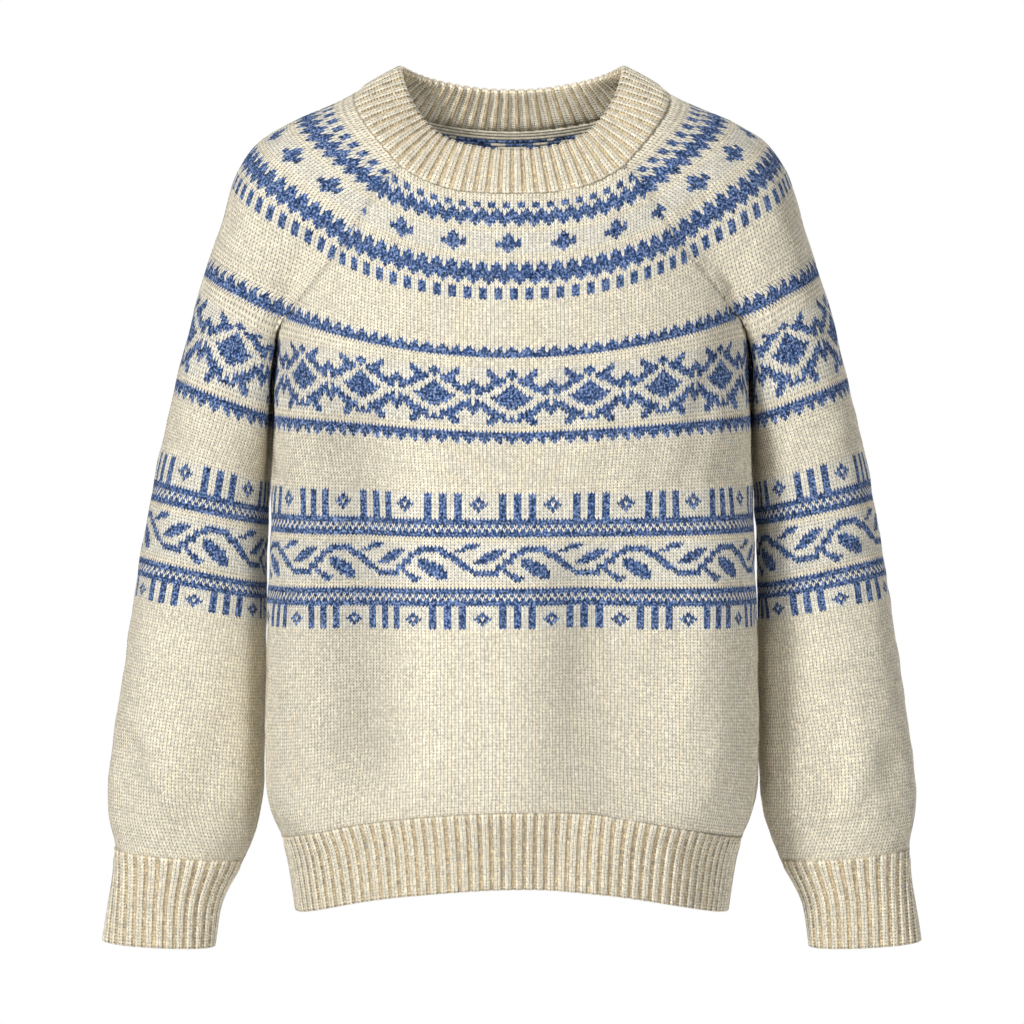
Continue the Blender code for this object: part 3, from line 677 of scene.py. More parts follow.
def sleeve_ends(rows):
    """Where each row of the sleeve starts, ends and is outermost; its fall and tilt."""
    up = rows <= UNDERARM_ROW
    low = ~up
    level = steady(SPINE, rows)
    out_x, out_z, fall = level[:, 0], level[:, 1], level[:, 2]
    tilt = UNDERARM_TILT * (1 - ease(rows, UNDERARM_ROW, LEVEL_ROW))
    out_y = read(ARM_CURVE, np.interp(-out_z, -ARM_POINTS[:, 2], ARM_T))[:, 1]
    front, rear = np.empty((len(rows), 3)), np.empty((len(rows), 3))
    if up.any():
        front[up] = raglan(SEAM_FRONT, rows[up])
        rear[up] = raglan(SEAM_BACK, rows[up])
    if low.any():
        z = out_z[low] - 0.10 * fall[low]
        y = UNDERARM_Y + 0.012 * ease(-z, 0.20, 0.35)
        c = read(ARM_CURVE, np.interp(-z, -ARM_POINTS[:, 2], ARM_T))
        x = c[:, 0] - c[:, 3]
        for _ in range(25):
            z = out_z[low] + fall[low] * (x - out_x[low]) + tilt[low] * (y - out_y[low])
            x = x + 0.8 * np.clip(sleeve_form(np.stack([x, y, z], -1)), -0.004, 0.004)
        front[low] = np.stack([x, y, z], -1)
        rear[low] = front[low]
    return front, rear, np.stack([out_x, out_y, out_z], -1), fall, tilt


def sleeve_rows(rows, n):
    """The rows of the sleeve on +X, from its front seam over the arm to its back one."""
    rows = np.asarray(rows, float)
    front, rear, top, fall, tilt = sleeve_ends(rows)
    out_x, out_z = top[:, 0], top[:, 2]
    rise = top - front
    joint = rows == UNDERARM_ROW
    fall = np.where(joint, (rise[:, 2] - tilt * rise[:, 1]) / rise[:, 0], fall)
    level_n = np.stack([-fall, -tilt, np.ones(len(rows))], -1)
    across_cap = np.cross(top - front, rear - front)
    normal = np.where((rows < UNDERARM_ROW)[:, None], across_cap, level_n)
    normal /= np.linalg.norm(normal, axis=1)[:, None]
    normal *= np.sign(normal[:, 2:3])
    w = np.linspace(0, 1, n)[None, :, None]
    c = 2 * top - 0.5 * (front + rear)
    p = (1 - w) ** 2 * front[:, None] + 2 * w * (1 - w) * c[:, None] + w**2 * rear[:, None]
    ring = rows > UNDERARM_ROW - 6
    if ring.any():
        a = np.linspace(-math.pi, math.pi, n)[None]
        mid = read(ARM_CURVE, np.interp(-(out_z - 0.05 * fall), -ARM_POINTS[:, 2], ARM_T))[ring]
        x, z, drop, near = (v[ring][:, None] for v in (out_x, out_z, fall, front[:, 0]))
        q = p[ring]
        q[..., 0] = 0.5 * (x + near) + 0.5 * (x - near) * np.cos(a)
        q[..., 1] = mid[:, 1:2] + mid[:, 4:5] * np.sin(a)
        q[..., 2] = z + drop * (q[..., 0] - x)
        q[:, 0], q[:, -1] = front[ring], rear[ring]
        p[ring] = q

    def surface(q):
        way = np.broadcast_to(normal[:, None], q.shape)
        return ((q - front[:, None]) * way).sum(-1), way

    return settle(arm_side, surface, p, rounds=28)


# ---------------------------------------------------------------- smooth rows of cloth


def smooth_at(line, t):
    """Places on a line of evenly spaced points; t counts points from its start."""
    n = len(line)
    i = np.clip(np.floor(t).astype(int), 0, n - 2)
    f = (t - i)[:, None]
    b, c = line[i], line[i + 1]
    a = np.where((i > 0)[:, None], line[np.maximum(i - 1, 0)], 2 * b - c)
    d = np.where((i < n - 2)[:, None], line[np.minimum(i + 2, n - 1)], 2 * c - b)
    cubic = 3 * b - a - 3 * c + d
    return b + 0.5 * f * (c - a + f * (2 * a - 5 * b + 4 * c - d + f * cubic))


def halved(grid):
    """The lines of a grid with one more between each two."""
    before = np.concatenate([2 * grid[:1] - grid[1:2], grid[:-2]])
    after = np.concatenate([grid[2:], 2 * grid[-1:] - grid[-2:-1]])
    out = np.empty((2 * len(grid) - 1,) + grid.shape[1:])
    out[::2] = grid
    out[1::2] = (9 * (grid[:-1] + grid[1:]) - before - after) / 16
    return out


def unit(v):
    return v / np.maximum(np.linalg.norm(v, axis=-1, keepdims=True), 1e-9)


def onto(form, p):
    g = gradient(form, p)
    push = np.clip(form(p), -0.01, 0.01) / np.maximum((g * g).sum(-1), 0.05)
    return p - push[..., None] * g


def levelled(values, reach=4):
    """A series with its small steps smoothed away."""
    w = np.hanning(2 * reach + 3)[1:-1]
    padded = np.concatenate([[values[0]] * reach, values, [values[-1]] * reach])
    return np.convolve(padded, w / w.sum(), mode="valid")


def creased(p, out):
    """How far the creases hold the cloth off its smooth form."""
    total = np.zeros(p.shape[:-1])
    for face, x, z, x2, z2, half, height in CREASES:
        along = np.array([x2 - x, z2 - z])
        off = p[..., ::2] - [x, z]
        share = np.clip(off @ along / (along @ along), 0, 1)
        off = np.linalg.norm(off - share[..., None] * along, axis=-1) / half
        total += height * np.exp(-off * off) * ease(face * out[..., 1], -0.1, 0.5)
    return total


class Cloth:
    """Smooth cloth: two evenly spaced lines to each row of stitches, with the way out."""

    def __init__(self, form, levels, coarse, ends, middle_gap):
        rows = np.arange(levels[0], levels[-1] + 1.0)
        table = np.column_stack([levels, coarse.reshape(len(levels), -1)])
        grid = steady(table, rows).reshape(len(rows), -1, 3)
        t = np.linspace(0, grid.shape[1] - 1, SMOOTH)
        grid = np.stack([smooth_at(line, t) for line in grid])
        grid[:, 0], grid[:, -1] = ends(rows)
        grid[:, 1:-1] = onto(form, grid)[:, 1:-1]
        grid = even(grid, SMOOTH)
        out = unit(np.cross(np.gradient(grid, axis=0), np.gradient(grid, axis=1)))
        out *= np.sign((out[0, SMOOTH // 2] * gradient(form, grid[0, SMOOTH // 2])).sum())
        for c in (0, -1):
            out[:, c] = unit(gradient(form, grid[:, c]))
        gap = middle_gap(grid, rows)
        near = np.clip(gap[:, 1:-1].argmin(1) + 1, 1, SMOOTH - 2)
        k = np.arange(len(rows))
        low, mid, high = gap[k, near - 1], gap[k, near], gap[k, near + 1]
        near = near + 0.5 * (low - high) / (low - 2 * mid + high)
        stand = creased(grid, out)
        grid += out * stand[..., None]
        self.rows = rows
        self.stand = stand
        self.set(halved(grid), halved(out), halved(levelled(near)[:, None])[:, 0])

    def set(self, lines, out, near):
        self.lines, self.out = lines, out
        self.length = np.linalg.norm(np.diff(lines, axis=1), axis=2).sum(1)
        self.middle = near / (SMOOTH - 1) * self.length

    def at(self, line, s):
        t = s / self.length[line] * (SMOOTH - 1)
        return smooth_at(self.lines[line], t), unit(smooth_at(self.out[line], t))

    def turned(self, flip):
        """The same cloth with its lines read the other way, mirrored across x if asked."""
        other = Cloth.__new__(Cloth)
        side = np.array([-1.0 if flip else 1.0, 1, 1])
        near = (1 - self.middle / self.length) * (SMOOTH - 1)
        other.rows, other.stand = self.rows, self.stand[:, ::-1]
        other.set(self.lines[:, ::-1] * side, self.out[:, ::-1] * side, near)
        return other


def body_cloth(levels, back=False):
    coarse = body_rows(levels, COARSE, back)

    def ends(rows):
        end = body_ends(rows, back)
        return end * [-1, 1, 1], end

    cloth = Cloth(body_side, levels, coarse, ends, lambda grid, rows: grid[..., 0] ** 2)
    return cloth.turned(False) if back else cloth


def sleeve_cloth(levels):
    coarse = sleeve_rows(levels, COARSE)

    def ends(rows):
        front, rear, _, _, _ = sleeve_ends(rows)
        return front, rear

    def gap(grid, rows):
        top = sleeve_ends(rows)[2]
        return ((grid - top[:, None]) ** 2).sum(-1)

    return Cloth(arm_side, levels, coarse, ends, gap)


# ---------------------------------------------------------------- figures


def figured(row, column, part):
    """Whether each stitch is blue; part is 0 for the body, 1 for the left sleeve and 2
    for the right."""
    blue = np.zeros(np.broadcast(row, column).shape, bool)
    for first, shifts, chart in BANDS:
        cells = np.array([[c == "#" for c in line] for line in chart])
        turn = (column + shifts[part]) % cells.shape[1]
        line = row - first
        inside = (line >= 0) & (line < len(chart))
        blue |= inside & cells[np.clip(line, 0, len(chart) - 1), turn]
    return blue


# ---------------------------------------------------------------- meshes


def zipped(a, b, ta, tb):
    """Triangles between two lines of vertices that run the same way."""
    faces, places = [], []
    i = j = 0
    while i < len(a) - 1 or j < len(b) - 1:
        if j == len(b) - 1 or (i < len(a) - 1 and ta[i + 1] <= tb[j + 1]):
            faces.append((a[i], a[i + 1], b[j], -1))
            places.append(((ta[i], 0), (ta[i + 1], 0), (tb[j], 1), (0, 0)))
            i += 1
        else:
            faces.append((a[i], b[j + 1], b[j], -1))
            places.append(((ta[i], 0), (tb[j + 1], 1), (tb[j], 1), (0, 0)))
            j += 1
    return np.array(faces), np.array(places, float)


def shares(points):
    s = np.concatenate([[0], np.cumsum(np.linalg.norm(np.diff(points, axis=0), axis=1))])
    return s / s[-1]


class Skin:
    """Gathers the vertices and faces of one piece. Each corner knows its place in its
    stitch, (edge to middle, row), and its place on a sheet laid flat."""

    def __init__(self):
        self.points, self.faces, self.count = [], [], 0

    def put(self, points):
        start = self.count
        self.points.append(points.reshape(-1, 3))
        self.count += len(self.points[-1])
        return start + np.arange(len(self.points[-1]))

    def add(self, faces, knit, flat, tint, stuff):
        tint = np.broadcast_to(tint, (len(faces), 3))
        self.faces.append((faces, knit, flat, tint, np.full(len(faces), stuff)))

    def rim(self, a, b, patch, strip):
        """Closes the edge between two lines of vertices."""
        points = np.concatenate(self.points)
        faces, places = zipped(a, b, shares(points[a]), shares(points[b]))
        good = (faces[:, :3] != faces[:, [1, 2, 0]]).all(1)
        patch = (patch[0], patch[1] + strip * RIM_STEP, patch[2], 0.7 * RIM_STEP)
        flat = laid_flat(places[good], patch)
        self.add(faces[good], places[good] * 0 + 0.5, flat, RIM_CREAM, 0)

    def build(self, name, materials):
        points = np.concatenate(self.points)
        faces, knit, flat, tint, stuff = (np.concatenate(q) for q in zip(*self.faces))
        corners = faces.reshape(-1) >= 0
        sizes = (faces >= 0).sum(1)
        a, b, c = (points[faces[:, k]] for k in range(3))
        volume = (a * np.cross(b, c)).sum()
        last = sizes == 4
        d = points[faces[last, 3]]
        volume += (a[last] * np.cross(c[last], d)).sum()

        def give(data, key, values, kind):
            data.foreach_set(key, values.astype(kind).ravel())

        mesh = bpy.data.meshes.new(name)
        mesh.vertices.add(len(points))
        mesh.loops.add(int(sizes.sum()))
        mesh.polygons.add(len(faces))
        give(mesh.vertices, "co", points, np.float32)
        give(mesh.loops, "vertex_index", faces.reshape(-1)[corners], np.int32)
        starts = np.concatenate([[0], np.cumsum(sizes)[:-1]])
        give(mesh.polygons, "loop_start", starts, np.int32)
        give(mesh.polygons, "material_index", stuff, np.int32)
        give(mesh.polygons, "use_smooth", np.ones(len(faces)), bool)
        for layer, values in (("OFBake", flat), ("Knit", knit)):
            uv = mesh.uv_layers.new(name=layer)
            give(uv.data, "uv", values.reshape(-1, 2)[corners], np.float32)
        yarn = mesh.color_attributes.new("Yarn", "FLOAT_COLOR", "CORNER")
        tint = np.repeat(tint, sizes, axis=0)
        give(yarn.data, "color", np.column_stack([tint, np.ones(len(tint))]), np.float32)
        mesh.update(calc_edges=True)
        if volume < 0:
            mesh.flip_normals()
        for m in materials:
            mesh.materials.append(m)
        ob = bpy.data.objects.new(name, mesh)
        bpy.context.scene.collection.objects.link(ob)
        return ob


def quads(row, col):
    """Column and row of each corner of the faces of a grid."""
    at = np.stack([col, row, col, row + 1, col + 1, row + 1, col + 1, row], -1)
    return at.reshape(-1, 4, 2)


class Net:
    """Vertices of a cloth at some rows and every `spread` half stitches; those past an
    edge become that edge's own vertex."""

    def __init__(self, cloth, rows, spread, staggered):
        n = len(rows)
        half = 0.5 * np.interp(cloth.rows[rows], *zip(*STITCH_WIDTH))
        reach = int((cloth.length.max() / half.min()) / spread) + 1
        column = np.arange(-reach, reach + 1) * spread
        index = np.empty((n, len(column)), int)
        points, out, place, gap, count = [], [], [], [], 0
        for k, r in enumerate(rows):
            line = 2 * r
            length, middle = cloth.length[line], cloth.middle[line]
            s = column * half[k] + middle
            spare = 0.35 * half[k] * spread
            before, past = s < spare, s > length - spare
            inside = ~(before | past)
            where = np.concatenate([[0.0], s[inside], [length]])
            p, o = cloth.at(line, where)
            if staggered and 0 < k < n - 1:
                low = np.concatenate([[False], column[inside] % 2 == 0, [False]])
                below = line + (2 if k < n - 2 else 1)
                p[low], o[low] = cloth.at(below, where[low] - middle + cloth.middle[below])
            index[k, before] = count
            index[k, inside] = count + 1 + np.arange(inside.sum())
            index[k, past] = count + 1 + inside.sum()
            points.append(p)
            out.append(o)
            place.append(np.column_stack([(where - middle) / half[k], np.full(len(where), r)]))
            gap.append(np.minimum(where, length - where))
            count += len(where)
        used = (index != index[:, :1]).any(0) & (index != index[:, -1:]).any(0)
        used[np.flatnonzero(used)[0] - 1] = True
        used[np.flatnonzero(used)[-1] + 1] = True
        self.index, self.column = index[:, used], column[used]
        self.points, self.out = np.concatenate(points), np.concatenate(out)
        self.place, self.gap = np.concatenate(place), np.concatenate(gap)
        self.rows = rows

    def faces(self):
        """Faces, with the row and column numbers of each in the net."""
        same = self.index[:, :-1] == self.index[:, 1:]
        top, bottom = same[:-1], same[1:]
        row, col = np.nonzero(~(top & bottom))
        at = quads(row, col)
        corner = self.index[at[..., 1], at[..., 0]]
        joined = bottom[row, col]
        corner[joined, 2] = corner[joined, 3]
        at[joined, 2] = at[joined, 3]
        corner[joined | top[row, col], 3] = -1
        return corner, at, row, col


def in_stitch(u):
    """1 at the middle of a stitch and 0 at its edges, from half stitches."""
    return np.abs(u % 2 - 1)


def waves(u, row, rng, height):
    """Gentle unevenness of the cloth."""
    total = np.zeros(len(u))
    for _ in range(WAVES):
        turn, size = rng.uniform(0, math.pi), rng.uniform(*WAVE_SIZES)
        phase = rng.uniform(0, 2 * math.pi)
        across = math.cos(turn) * u * 0.5 + math.sin(turn) * row
        total += np.sin(across / size * 2 * math.pi + phase)
    return total * height / WAVE_SUM


def dyed(blue, rng, along, shade=1.0):
    """Yarn colours for stitches: `along` is a slow change of tone down the yarn."""
    n = len(blue)
    cream = np.array(CREAM) * (1 + CREAM_SPREAD * rng.standard_normal(n) + 0.02 * along)[:, None]
    light = np.clip(1 + BLUE_SPREAD * rng.standard_normal(n) + 0.06 * along, 0.35, 2.0)[:, None]
    pale = np.clip(PALE_SPREAD * rng.standard_normal(n), 0, 0.4)[:, None]
    navy = np.array(BLUE) * light * (1 - pale) + np.array(PALE) * pale
    return np.where(blue[:, None], navy, cream) * shade


def line_of(index_line):
    return index_line[np.concatenate([[True], index_line[1:] != index_line[:-1]])]


def laid_flat(share, patch):
    """Places on the flat sheet for shares of a patch: its corner, width and height."""
    x, y, width, height = patch
    return np.stack([x + share[..., 0] * width, y + (1 - share[..., 1]) * height], -1)


def outer_face(skin, cloth, part, rng):
    """Every stitch of the outer face, two faces to a stitch."""
    last = len(cloth.rows) - 1
    net = Net(cloth, np.arange(last + 1), 1, True)
    u, r = net.place.T
    lift = -STITCH_SINK * (1 - in_stitch(u)) + waves(u, r, rng, WAVE_HEIGHT)
    lift += rng.normal(0, STITCH_JITTER, len(u)) * (net.gap > 0)
    away = np.clip(np.abs(r - UNDERARM_ROW) / 10, 0, 1)
    lift -= SEAM_SINK * np.exp(-((net.gap / SEAM_REACH) ** 2)) * away
    lift[net.gap == 0] = -(SEAM_SINK * away)[net.gap == 0]
    start = skin.put(net.points + net.out * lift[:, None])[0]

    corner, at, row, col = net.faces()
    stitch = (net.column[col] + 1) // 2
    blue = figured(row, stitch, part)
    tone = dyed(blue, rng, waves(stitch * 2.0, row * 6.0, rng, 1.0))
    floats = figured(np.arange(last)[:, None], np.arange(60), part).any(1)[row] & ~blue
    tone[floats] *= BETWEEN
    near = np.exp(-((net.gap[corner[:, :3]].min(1) / SEAM_DARK) ** 2)) * away[corner[:, 0]]
    tone *= 1 - SEAM_SHADE * near[:, None]
    across = (net.column[col] + 0.5) / (2 * np.abs(net.column).max()) + 0.5
    stand = cloth.stand[row, np.clip(across * SMOOTH, 0, SMOOTH - 1).astype(int)]
    # Painted shade in the creases and painted light on the ridges between them.
    tone *= 1 + CREASE_PAINTED_SHADE * stand[:, None]
    knit = np.stack([in_stitch(u), r], -1)[corner]
    flat = laid_flat(at / [len(net.column) - 1, last], OUTER_PATCH)
    skin.add(np.where(corner < 0, -1, corner + start), knit, flat, tone, 0)
    return net.index + start


def inner_face(skin, cloth, part, rng):
    """The inner face, with the blue yarn's floats behind the rows that have figures."""
    last = len(cloth.rows) - 1
    coarse = np.arange(INNER_FINE, last, INNER_STEP)
    rows = np.concatenate([np.arange(INNER_FINE), coarse, [last]])
    net = Net(cloth, rows, INNER_STEP, False)
    u, r = net.place.T
    start = skin.put(net.points - net.out * WALL)[0]
    corner, at, row, col = net.faces()
    share = figured(rows[row][:, None], np.arange(-60, 60), part).mean(1)
    chance = FLOAT_SHARE + (1 - FLOAT_SHARE) * np.sqrt(share)
    blue = rng.random(len(row)) < np.where(share > 0, chance, 0)
    turned = np.where(corner[:, 3:] < 0, [0, 2, 1, 3], [0, 3, 2, 1])
    corner = np.take_along_axis(corner, turned, 1)
    at = np.take_along_axis(at, turned[..., None], 1)
    knit = np.stack([in_stitch(u / 2), r], -1)[corner]
    # Painted shade: the inner face's colours are darkened.
    tone = dyed(blue, rng, np.zeros(len(row)), INSIDE_PAINTED_SHADE)
    flat = laid_flat(at / [len(net.column) - 1, len(rows) - 1], INNER_PATCH)
    skin.add(np.where(corner < 0, -1, corner + start), knit, flat, tone, 1)
    return net.index + start


def knit_piece(cloth, seed, part):
    rng = np.random.default_rng(seed)
    skin = Skin()
    x = outer_face(skin, cloth, part, rng)
    y = inner_face(skin, cloth, part, rng)
    rims = [(x[0], y[0]), (x[:, -1], y[:, -1])]
    rims += [(x[-1][::-1], y[-1][::-1]), (x[::-1, 0], y[::-1, 0])]
    for k, (a, b) in enumerate(rims):
        skin.rim(line_of(a), line_of(b), RIM_PATCH, k)
    return skin


def rib_lines(place, last, height, middle, rib_wall):
    """Lines of points from the join to the free edge, round it and back inside."""
    lines, rows = [], []
    for row in range(last + 1):
        p, out = place(row)
        if 0 < row < last:
            below = row + (1 if row < last - 1 else 0.5)
            p[middle], out[middle] = (q[middle] for q in place(below))
        fade = RIB_START + (1 - RIB_START) * ease(row, 0, RIB_RISE)
        lines.append(p + out * (height * fade)[:, None])
        rows.append(row)
    lines[0] += LAP_ROWS * (lines[0] - lines[1]) + place(0)[1] * LAP
    p, out = place(last)
    down = unit(p - place(last - 1)[0])
    for turn in (0.25, 0.5, 0.75):
        across_wall = height - rib_wall / 2 * (1 - math.cos(turn * math.pi))
        past = EDGE_ROUND * rib_wall * math.sin(turn * math.pi)
        lines.append(p + out * across_wall[:, None] + down * past)
        rows.append(last + turn)
    for row in range(last, -1, -2):
        p, out = place(row)
        fade = RIB_START + (1 - RIB_START) * ease(row, 0, RIB_RISE)
        wall = WALL + (rib_wall - WALL) * ease(row, 0, WALL_RISE)
        lines.append(p + out * (height * fade * RIB_BACK - wall)[:, None])
        rows.append(2 * last - row)
    return np.stack(lines), np.array(rows)


def rib_piece(place, last, ribs, closed, rib_wall, seed, inner_painted_light=1.0):
    """Ribbing from its join, row 0, to its free edge, round it and back inside.
    place(row) gives points and the way out for every column of the ribs."""
    rng = np.random.default_rng(seed)
    columns = len(RIB) * ribs + (0 if closed else 1)
    shape = np.resize(np.array(RIB), (columns, 3))
    height, spot = shape[:, 1] * RIB_HEIGHT, shape[:, 2]
    height = height * (1 + RIB_SPREAD * rng.standard_normal(columns))
    grid, rows = rib_lines(place, last, height, spot == 1, rib_wall)
    skin = Skin()
    index = skin.put(grid).reshape(grid.shape[:2])
    if closed:
        spot = np.append(spot, spot[0])
        index = np.concatenate([index, index[:, :1]], 1)
    n, m = index.shape
    row, col = (q.ravel() for q in np.mgrid[: n - 1, : m - 1])
    at = quads(row, col)
    knit = np.stack([spot[at[..., 0]], rows[at[..., 1]]], -1)
    tone = dyed(np.zeros(len(row), bool), rng, waves(col * 1.0, row * 3.0, rng, 1.0))
    sunk = np.minimum(shape[:, 1], np.roll(shape[:, 1], -1))[col % columns]
    # Painted light: the inner rows of a band are made lighter.
    tone[row > last + 2] *= inner_painted_light
    # Painted shade in the furrows between ribs.
    trough_shade = np.array(TROUGH_PAINTED_SHADE) * (1 + TROUGH_SHADE_SPREAD * rng.standard_normal((len(row), 1)))
    tone = np.where((sunk < 0)[:, None], tone * trough_shade, tone)
    flat = laid_flat(at / [m - 1, n - 1], WHOLE_PATCH)
    skin.add(index[at[..., 1], at[..., 0]], knit, flat, tone, 0)
    k = np.arange(m - 1)
    at = quads(k * 0, k)[:, [0, 3, 2, 1]]
    flat = laid_flat(at / [m - 1, 1], RIB_RIM)
    skin.add(index[[0, -1]][at[..., 1], at[..., 0]], at * 0 + 0.5, flat, RIM_CREAM, 0)
    if not closed:
        half = last + 2
        skin.rim(index[: half + 1, -1], index[: half - 1 : -1, -1], RIB_RIM, -1)
        skin.rim(index[half::-1, 0], index[half:, 0], RIB_RIM, -2)
    return skin


def rib_columns(ribs):
    """Shares of the way round at which the columns of so many ribs stand."""
    return (np.arange(ribs)[:, None] + np.array(RIB)[:, 0]).ravel() / ribs


def cloth_place(cloth, share):
    """Where ribs lie on a cloth: a column at each share of each of its lines."""

    def place(row):
        line = int(round(2 * row))
        return cloth.at(line, share * cloth.length[line])

    return place


def neck_place(ring, share):
    """Where the neckband's ribs lie: row 0 at the neck seam, upwards to its edge."""
    closed = np.concatenate([ring, ring[:1]])
    s = np.concatenate([[0], np.cumsum(np.linalg.norm(np.diff(closed, axis=0), axis=1))])
    base = np.stack([np.interp(share * s[-1], s, closed[:, k]) for k in range(3)], -1)
    centre = np.array([0, NECK_CENTRE_Y, 0])
    d = base - centre
    turn = np.degrees(np.arctan2(np.abs(d[:, 0]), -d[:, 1]))
    top = read(spline(NECK_TOP), turn)
    a = np.radians(turn) * np.where(d[:, 0] < 0, -1, 1)
    x, y = top[:, 0] * np.sin(a), NECK_CENTRE_Y - top[:, 0] * np.cos(a)
    upper = np.stack([x, y, top[:, 1]], -1)
    along = upper - base
    round_ = np.roll(base + upper, -1, 0) - np.roll(base + upper, 1, 0)
    out = unit(np.cross(round_, along))
    out *= np.sign((out * d).sum(1))[:, None]
    yoke = unit(gradient(yoke_form, base))

    def place(row):
        share = NECK_REACH * row / NECK_ROWS
        face = unit(yoke + (out - yoke) * ease(share, 0.0, 0.6))
        return base + along * share + face * NECK_SWELL * math.sin(math.pi * share), face

    return place


# ---------------------------------------------------------------- materials


def node(tree, kind, **settings):
    n = tree.nodes.new(kind)
    n.location = (NODE_SPACING * len(tree.nodes), 0)
    for key, value in settings.items():
        setattr(n, key, value)
    return n


def fill_in(n, values):
    for key, value in values.items():
        n.inputs[key].default_value = value


def painted(name, values):
    """A material, its nodes and its surface, with these values on the surface."""
    m = bpy.data.materials.new(name)
    m.use_nodes = True
    surface = m.node_tree.nodes["Principled BSDF"]
    fill_in(surface, values)
    return m, m.node_tree, surface


def maths(tree, kind, first, second=None, third=None):
    n = node(tree, "ShaderNodeMath", operation=kind)
    for k, value in enumerate((first, second, third)):
        if isinstance(value, (int, float)):
            n.inputs[k].default_value = value
        elif value is not None:
            tree.links.new(value, n.inputs[k])
    return n.outputs[0]


def ramp(tree, value, starts, ends, kind="SMOOTHSTEP"):
    n = node(tree, "ShaderNodeMapRange", interpolation_type=kind)
    sockets = ("From Min", "From Max", "To Min", "To Max")
    fill_in(n, dict(zip(sockets, (*starts, *ends))))
    tree.links.new(value, n.inputs["Value"])
    return n.outputs["Result"]


def noise(tree, place, scale, detail):
    n = node(tree, "ShaderNodeTexNoise")
    fill_in(n, {"Scale": scale, "Detail": detail})
    tree.links.new(place, n.inputs["Vector"])
    return n.outputs["Fac"]


def stitched(t, side, row):
    """Height of the yarn in its stitch, from 1 down to where it passes under others."""
    down = maths(t, "FRACT", row)
    off = maths(t, "MULTIPLY_ADD", down, 2.0, -1.0)
    between = maths(t, "MULTIPLY", off, off)
    leg = maths(t, "SINE", maths(t, "MULTIPLY", side, math.pi * 0.82))
    aside = maths(t, "SUBTRACT", 1.0, leg)
    deep = maths(t, "MULTIPLY_ADD", between, 0.62, 0.38)
    hole = maths(t, "MULTIPLY", aside, deep)
    depth = maths(t, "MULTIPLY_ADD", between, 0.30, hole)
    return maths(t, "SUBTRACT", 1.0, depth)


def wool(name, relief):
    """Knitted wool: yarns rounded by bump, with painted shade where they pass under each other
    and painted light on their crowns, and lights in the blue ones."""
    m, t, surface = painted(name, {
        "Roughness": 0.92,
        "Specular IOR Level": 0.18,
        "Sheen Weight": 0.06,
        "Sheen Roughness": 0.45,
        "Sheen Tint": (0.92, 0.93, 1.0, 1),
    })
    yarn = node(t, "ShaderNodeVertexColor", layer_name="Yarn").outputs["Color"]
    place = node(t, "ShaderNodeUVMap", uv_map="Knit")
    split = node(t, "ShaderNodeSeparateXYZ")
    t.links.new(place.outputs["UV"], split.inputs[0])
    side, row = split.outputs["X"], split.outputs["Y"]
    form = stitched(t, side, row)

    rest = node(t, "ShaderNodeTexCoord").outputs["Object"]
    fibre = noise(t, rest, 1500.0, 3.0)
    ply = maths(t, "SINE", maths(t, "MULTIPLY_ADD", side, 14.0, row))
    high = maths(t, "MULTIPLY_ADD", fibre, 0.35, form)
    high = maths(t, "MULTIPLY_ADD", ply, 0.06, high)
    raised = node(t, "ShaderNodeBump")
    fill_in(raised, {"Strength": 0.8, "Distance": relief})
    t.links.new(high, raised.inputs["Height"])
    t.links.new(raised.outputs["Normal"], surface.inputs["Normal"])

    fleck = noise(t, rest, 560.0, 2.0)
    tufts = ramp(t, fleck, (0.36, 0.66), (0, 1))
    parts = node(t, "ShaderNodeSeparateColor")
    t.links.new(yarn, parts.inputs[0])
    dark = ramp(t, parts.outputs["Red"], (0.55, 0.25), (0, 1), "LINEAR")
    lights = maths(t, "MULTIPLY", maths(t, "POWER", tufts, 2.0), dark)
    heather = node(t, "ShaderNodeMix", data_type="RGBA")
    t.links.new(maths(t, "MULTIPLY", lights, 0.62), heather.inputs["Factor"])
    t.links.new(yarn, heather.inputs[6])
    heather.inputs[7].default_value = (*PALE, 1)
    # Painted shade where the yarns pass under each other, painted light on their crowns.
    gap = ramp(t, form, (0.10, 0.90), (0.18, 1.12))
    tone = maths(t, "MULTIPLY_ADD", tufts, 0.30, 0.84)
    mix = node(t, "ShaderNodeVectorMath", operation="SCALE")
    t.links.new(heather.outputs[2], mix.inputs[0])
    t.links.new(maths(t, "MULTIPLY", tone, gap), mix.inputs["Scale"])
    t.links.new(mix.outputs["Vector"], surface.inputs["Base Color"])
    return m


# ---------------------------------------------------------------- the sweater


def worn(skin, name, materials, slot, cut, area, holder):
    piece = skin.build(name, materials)
    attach(piece, "root")
    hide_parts(name)


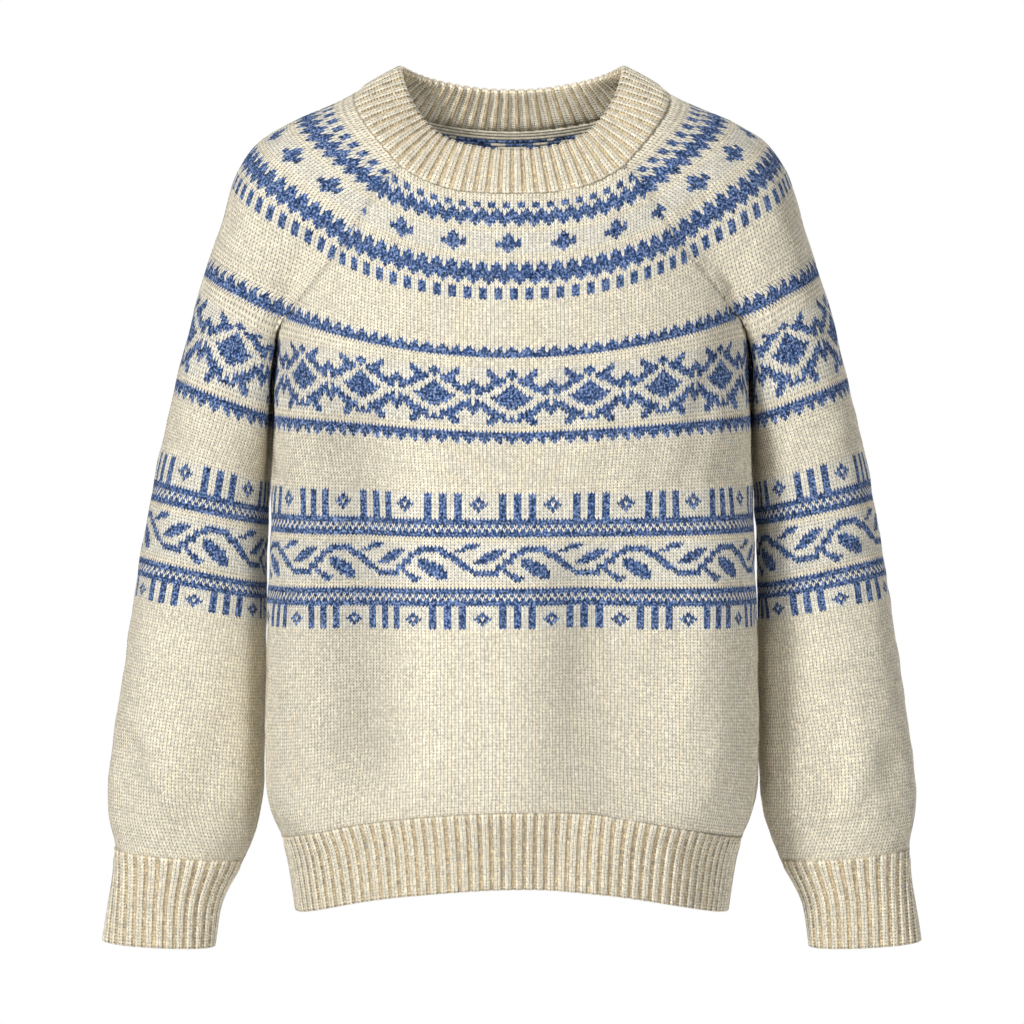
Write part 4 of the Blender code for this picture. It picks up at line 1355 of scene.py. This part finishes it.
def sweater():
    both = [wool("wool_outside", 0.0010), wool("wool_inside", 0.0012)]
    front, back = body_cloth(BODY_COARSE), body_cloth(BODY_COARSE, back=True)
    left = sleeve_cloth(SLEEVE_COARSE)
    right = left.turned(True)
    for name, cloth, seed, part in (
        ("front_panel", front, 11, 0),
        ("back_panel", back, 12, 0),
        ("sleeve_left", left, 13, 1),
        ("sleeve_right", right, 14, 2),
    ):
        worn(knit_piece(cloth, seed, part), name, both, "patterned_knit", *CUTS[name])

    cuff = sleeve_cloth(CUFF_COARSE)
    for name, cloth, seed, closed, pitch in (
        ("hem_rib_front", body_cloth(HEM_COARSE), 21, False, HEM_PITCH),
        ("hem_rib_back", body_cloth(HEM_COARSE, back=True), 22, False, HEM_PITCH),
        ("cuff_left", cuff, 23, True, CUFF_PITCH),
        ("cuff_right", cuff.turned(True), 24, True, CUFF_PITCH),
    ):
        ribs = round(cloth.length[len(cloth.length) // 2] / pitch)
        share = rib_columns(ribs)
        place = cloth_place(cloth, share if closed else np.append(share, 1))
        skin = rib_piece(place, len(cloth.rows) - 1, ribs, closed, RIB_CLOTH, seed)
        worn(skin, name, both, "rib_knit", *CUTS[name])

    half = SMOOTH // 2
    f, l, b, r = (c.lines[0] for c in (front, left, back, right))
    ring = np.concatenate([f[half:-1], l[:-1], b[:-1], r[:-1], f[:half]])
    length = np.linalg.norm(np.diff(ring, axis=0), axis=1).sum()
    ribs = round(length / NECK_PITCH)
    place = neck_place(ring, rib_columns(ribs))
    skin = rib_piece(place, NECK_ROWS, ribs, True, BAND_CLOTH, 25, NECK_INSIDE_PAINTED_LIGHT)
    worn(skin, "neckband", both, "rib_knit", *CUTS["neckband"])


def aimed(ob, target):
    way = np.array(target) - np.array(ob.location)
    flat = math.hypot(way[0], way[1])
    ob.rotation_euler = (math.pi / 2 + math.atan2(way[2], flat), 0, math.atan2(-way[0], way[1]))


def lamp(name, place, target, size, power, colour):
    data = bpy.data.lights.new(name, "AREA")
    data.shape = "DISK"
    data.size, data.energy, data.color = size, power, colour
    ob = bpy.data.objects.new(name, data)
    ob.location = place
    aimed(ob, target)
    bpy.context.scene.collection.objects.link(ob)


def backdrop():
    """White behind the sweater, soft light from all round, and a pale floor."""
    scene = bpy.context.scene
    scene.view_settings.view_transform = "Standard"
    scene.world = bpy.data.worlds.new("studio")
    scene.world.use_nodes = True
    t = scene.world.node_tree
    seen = t.nodes["Background"]
    fill_in(seen, {"Color": (1, 1, 1, 1), "Strength": 1.0})
    fill = node(t, "ShaderNodeBackground")
    fill_in(fill, {"Color": (1.0, 0.985, 0.965, 1), "Strength": FILL_LIGHT})
    path = node(t, "ShaderNodeLightPath")
    mix = node(t, "ShaderNodeMixShader")
    t.links.new(path.outputs["Is Camera Ray"], mix.inputs["Fac"])
    t.links.new(fill.outputs[0], mix.inputs[1])
    t.links.new(seen.outputs[0], mix.inputs[2])
    t.links.new(mix.outputs[0], t.nodes["World Output"].inputs["Surface"])

    floor = bpy.data.meshes.new("floor")
    x, y, z = FLOOR
    floor.from_pydata([(-x, -y, z), (x, -y, z), (x, y, z), (-x, y, z)], [], [(0, 1, 2, 3)])
    white = {"Base Color": (0.86, 0.86, 0.86, 1), "Roughness": 0.8}
    floor.materials.append(painted("floor_white", white)[0])
    ob = bpy.data.objects.new("floor", floor)
    scene.collection.objects.link(ob)


def studio():
    backdrop()
    for light in LAMPS:
        lamp(*light)
    data = bpy.data.cameras.new("camera")
    data.lens = data.sensor_width * CAMERA_DISTANCE / VIEW_WIDTH
    camera = bpy.data.objects.new("camera", data)
    turn = math.radians(CAMERA_ELEVATION)
    away, up = CAMERA_DISTANCE * math.cos(turn), CAMERA_DISTANCE * math.sin(turn)
    camera.location = (0, -away, LOOK_AT[2] + up)
    aimed(camera, LOOK_AT)
    bpy.context.scene.collection.objects.link(camera)
    bpy.context.scene.camera = camera


sweater()
studio()
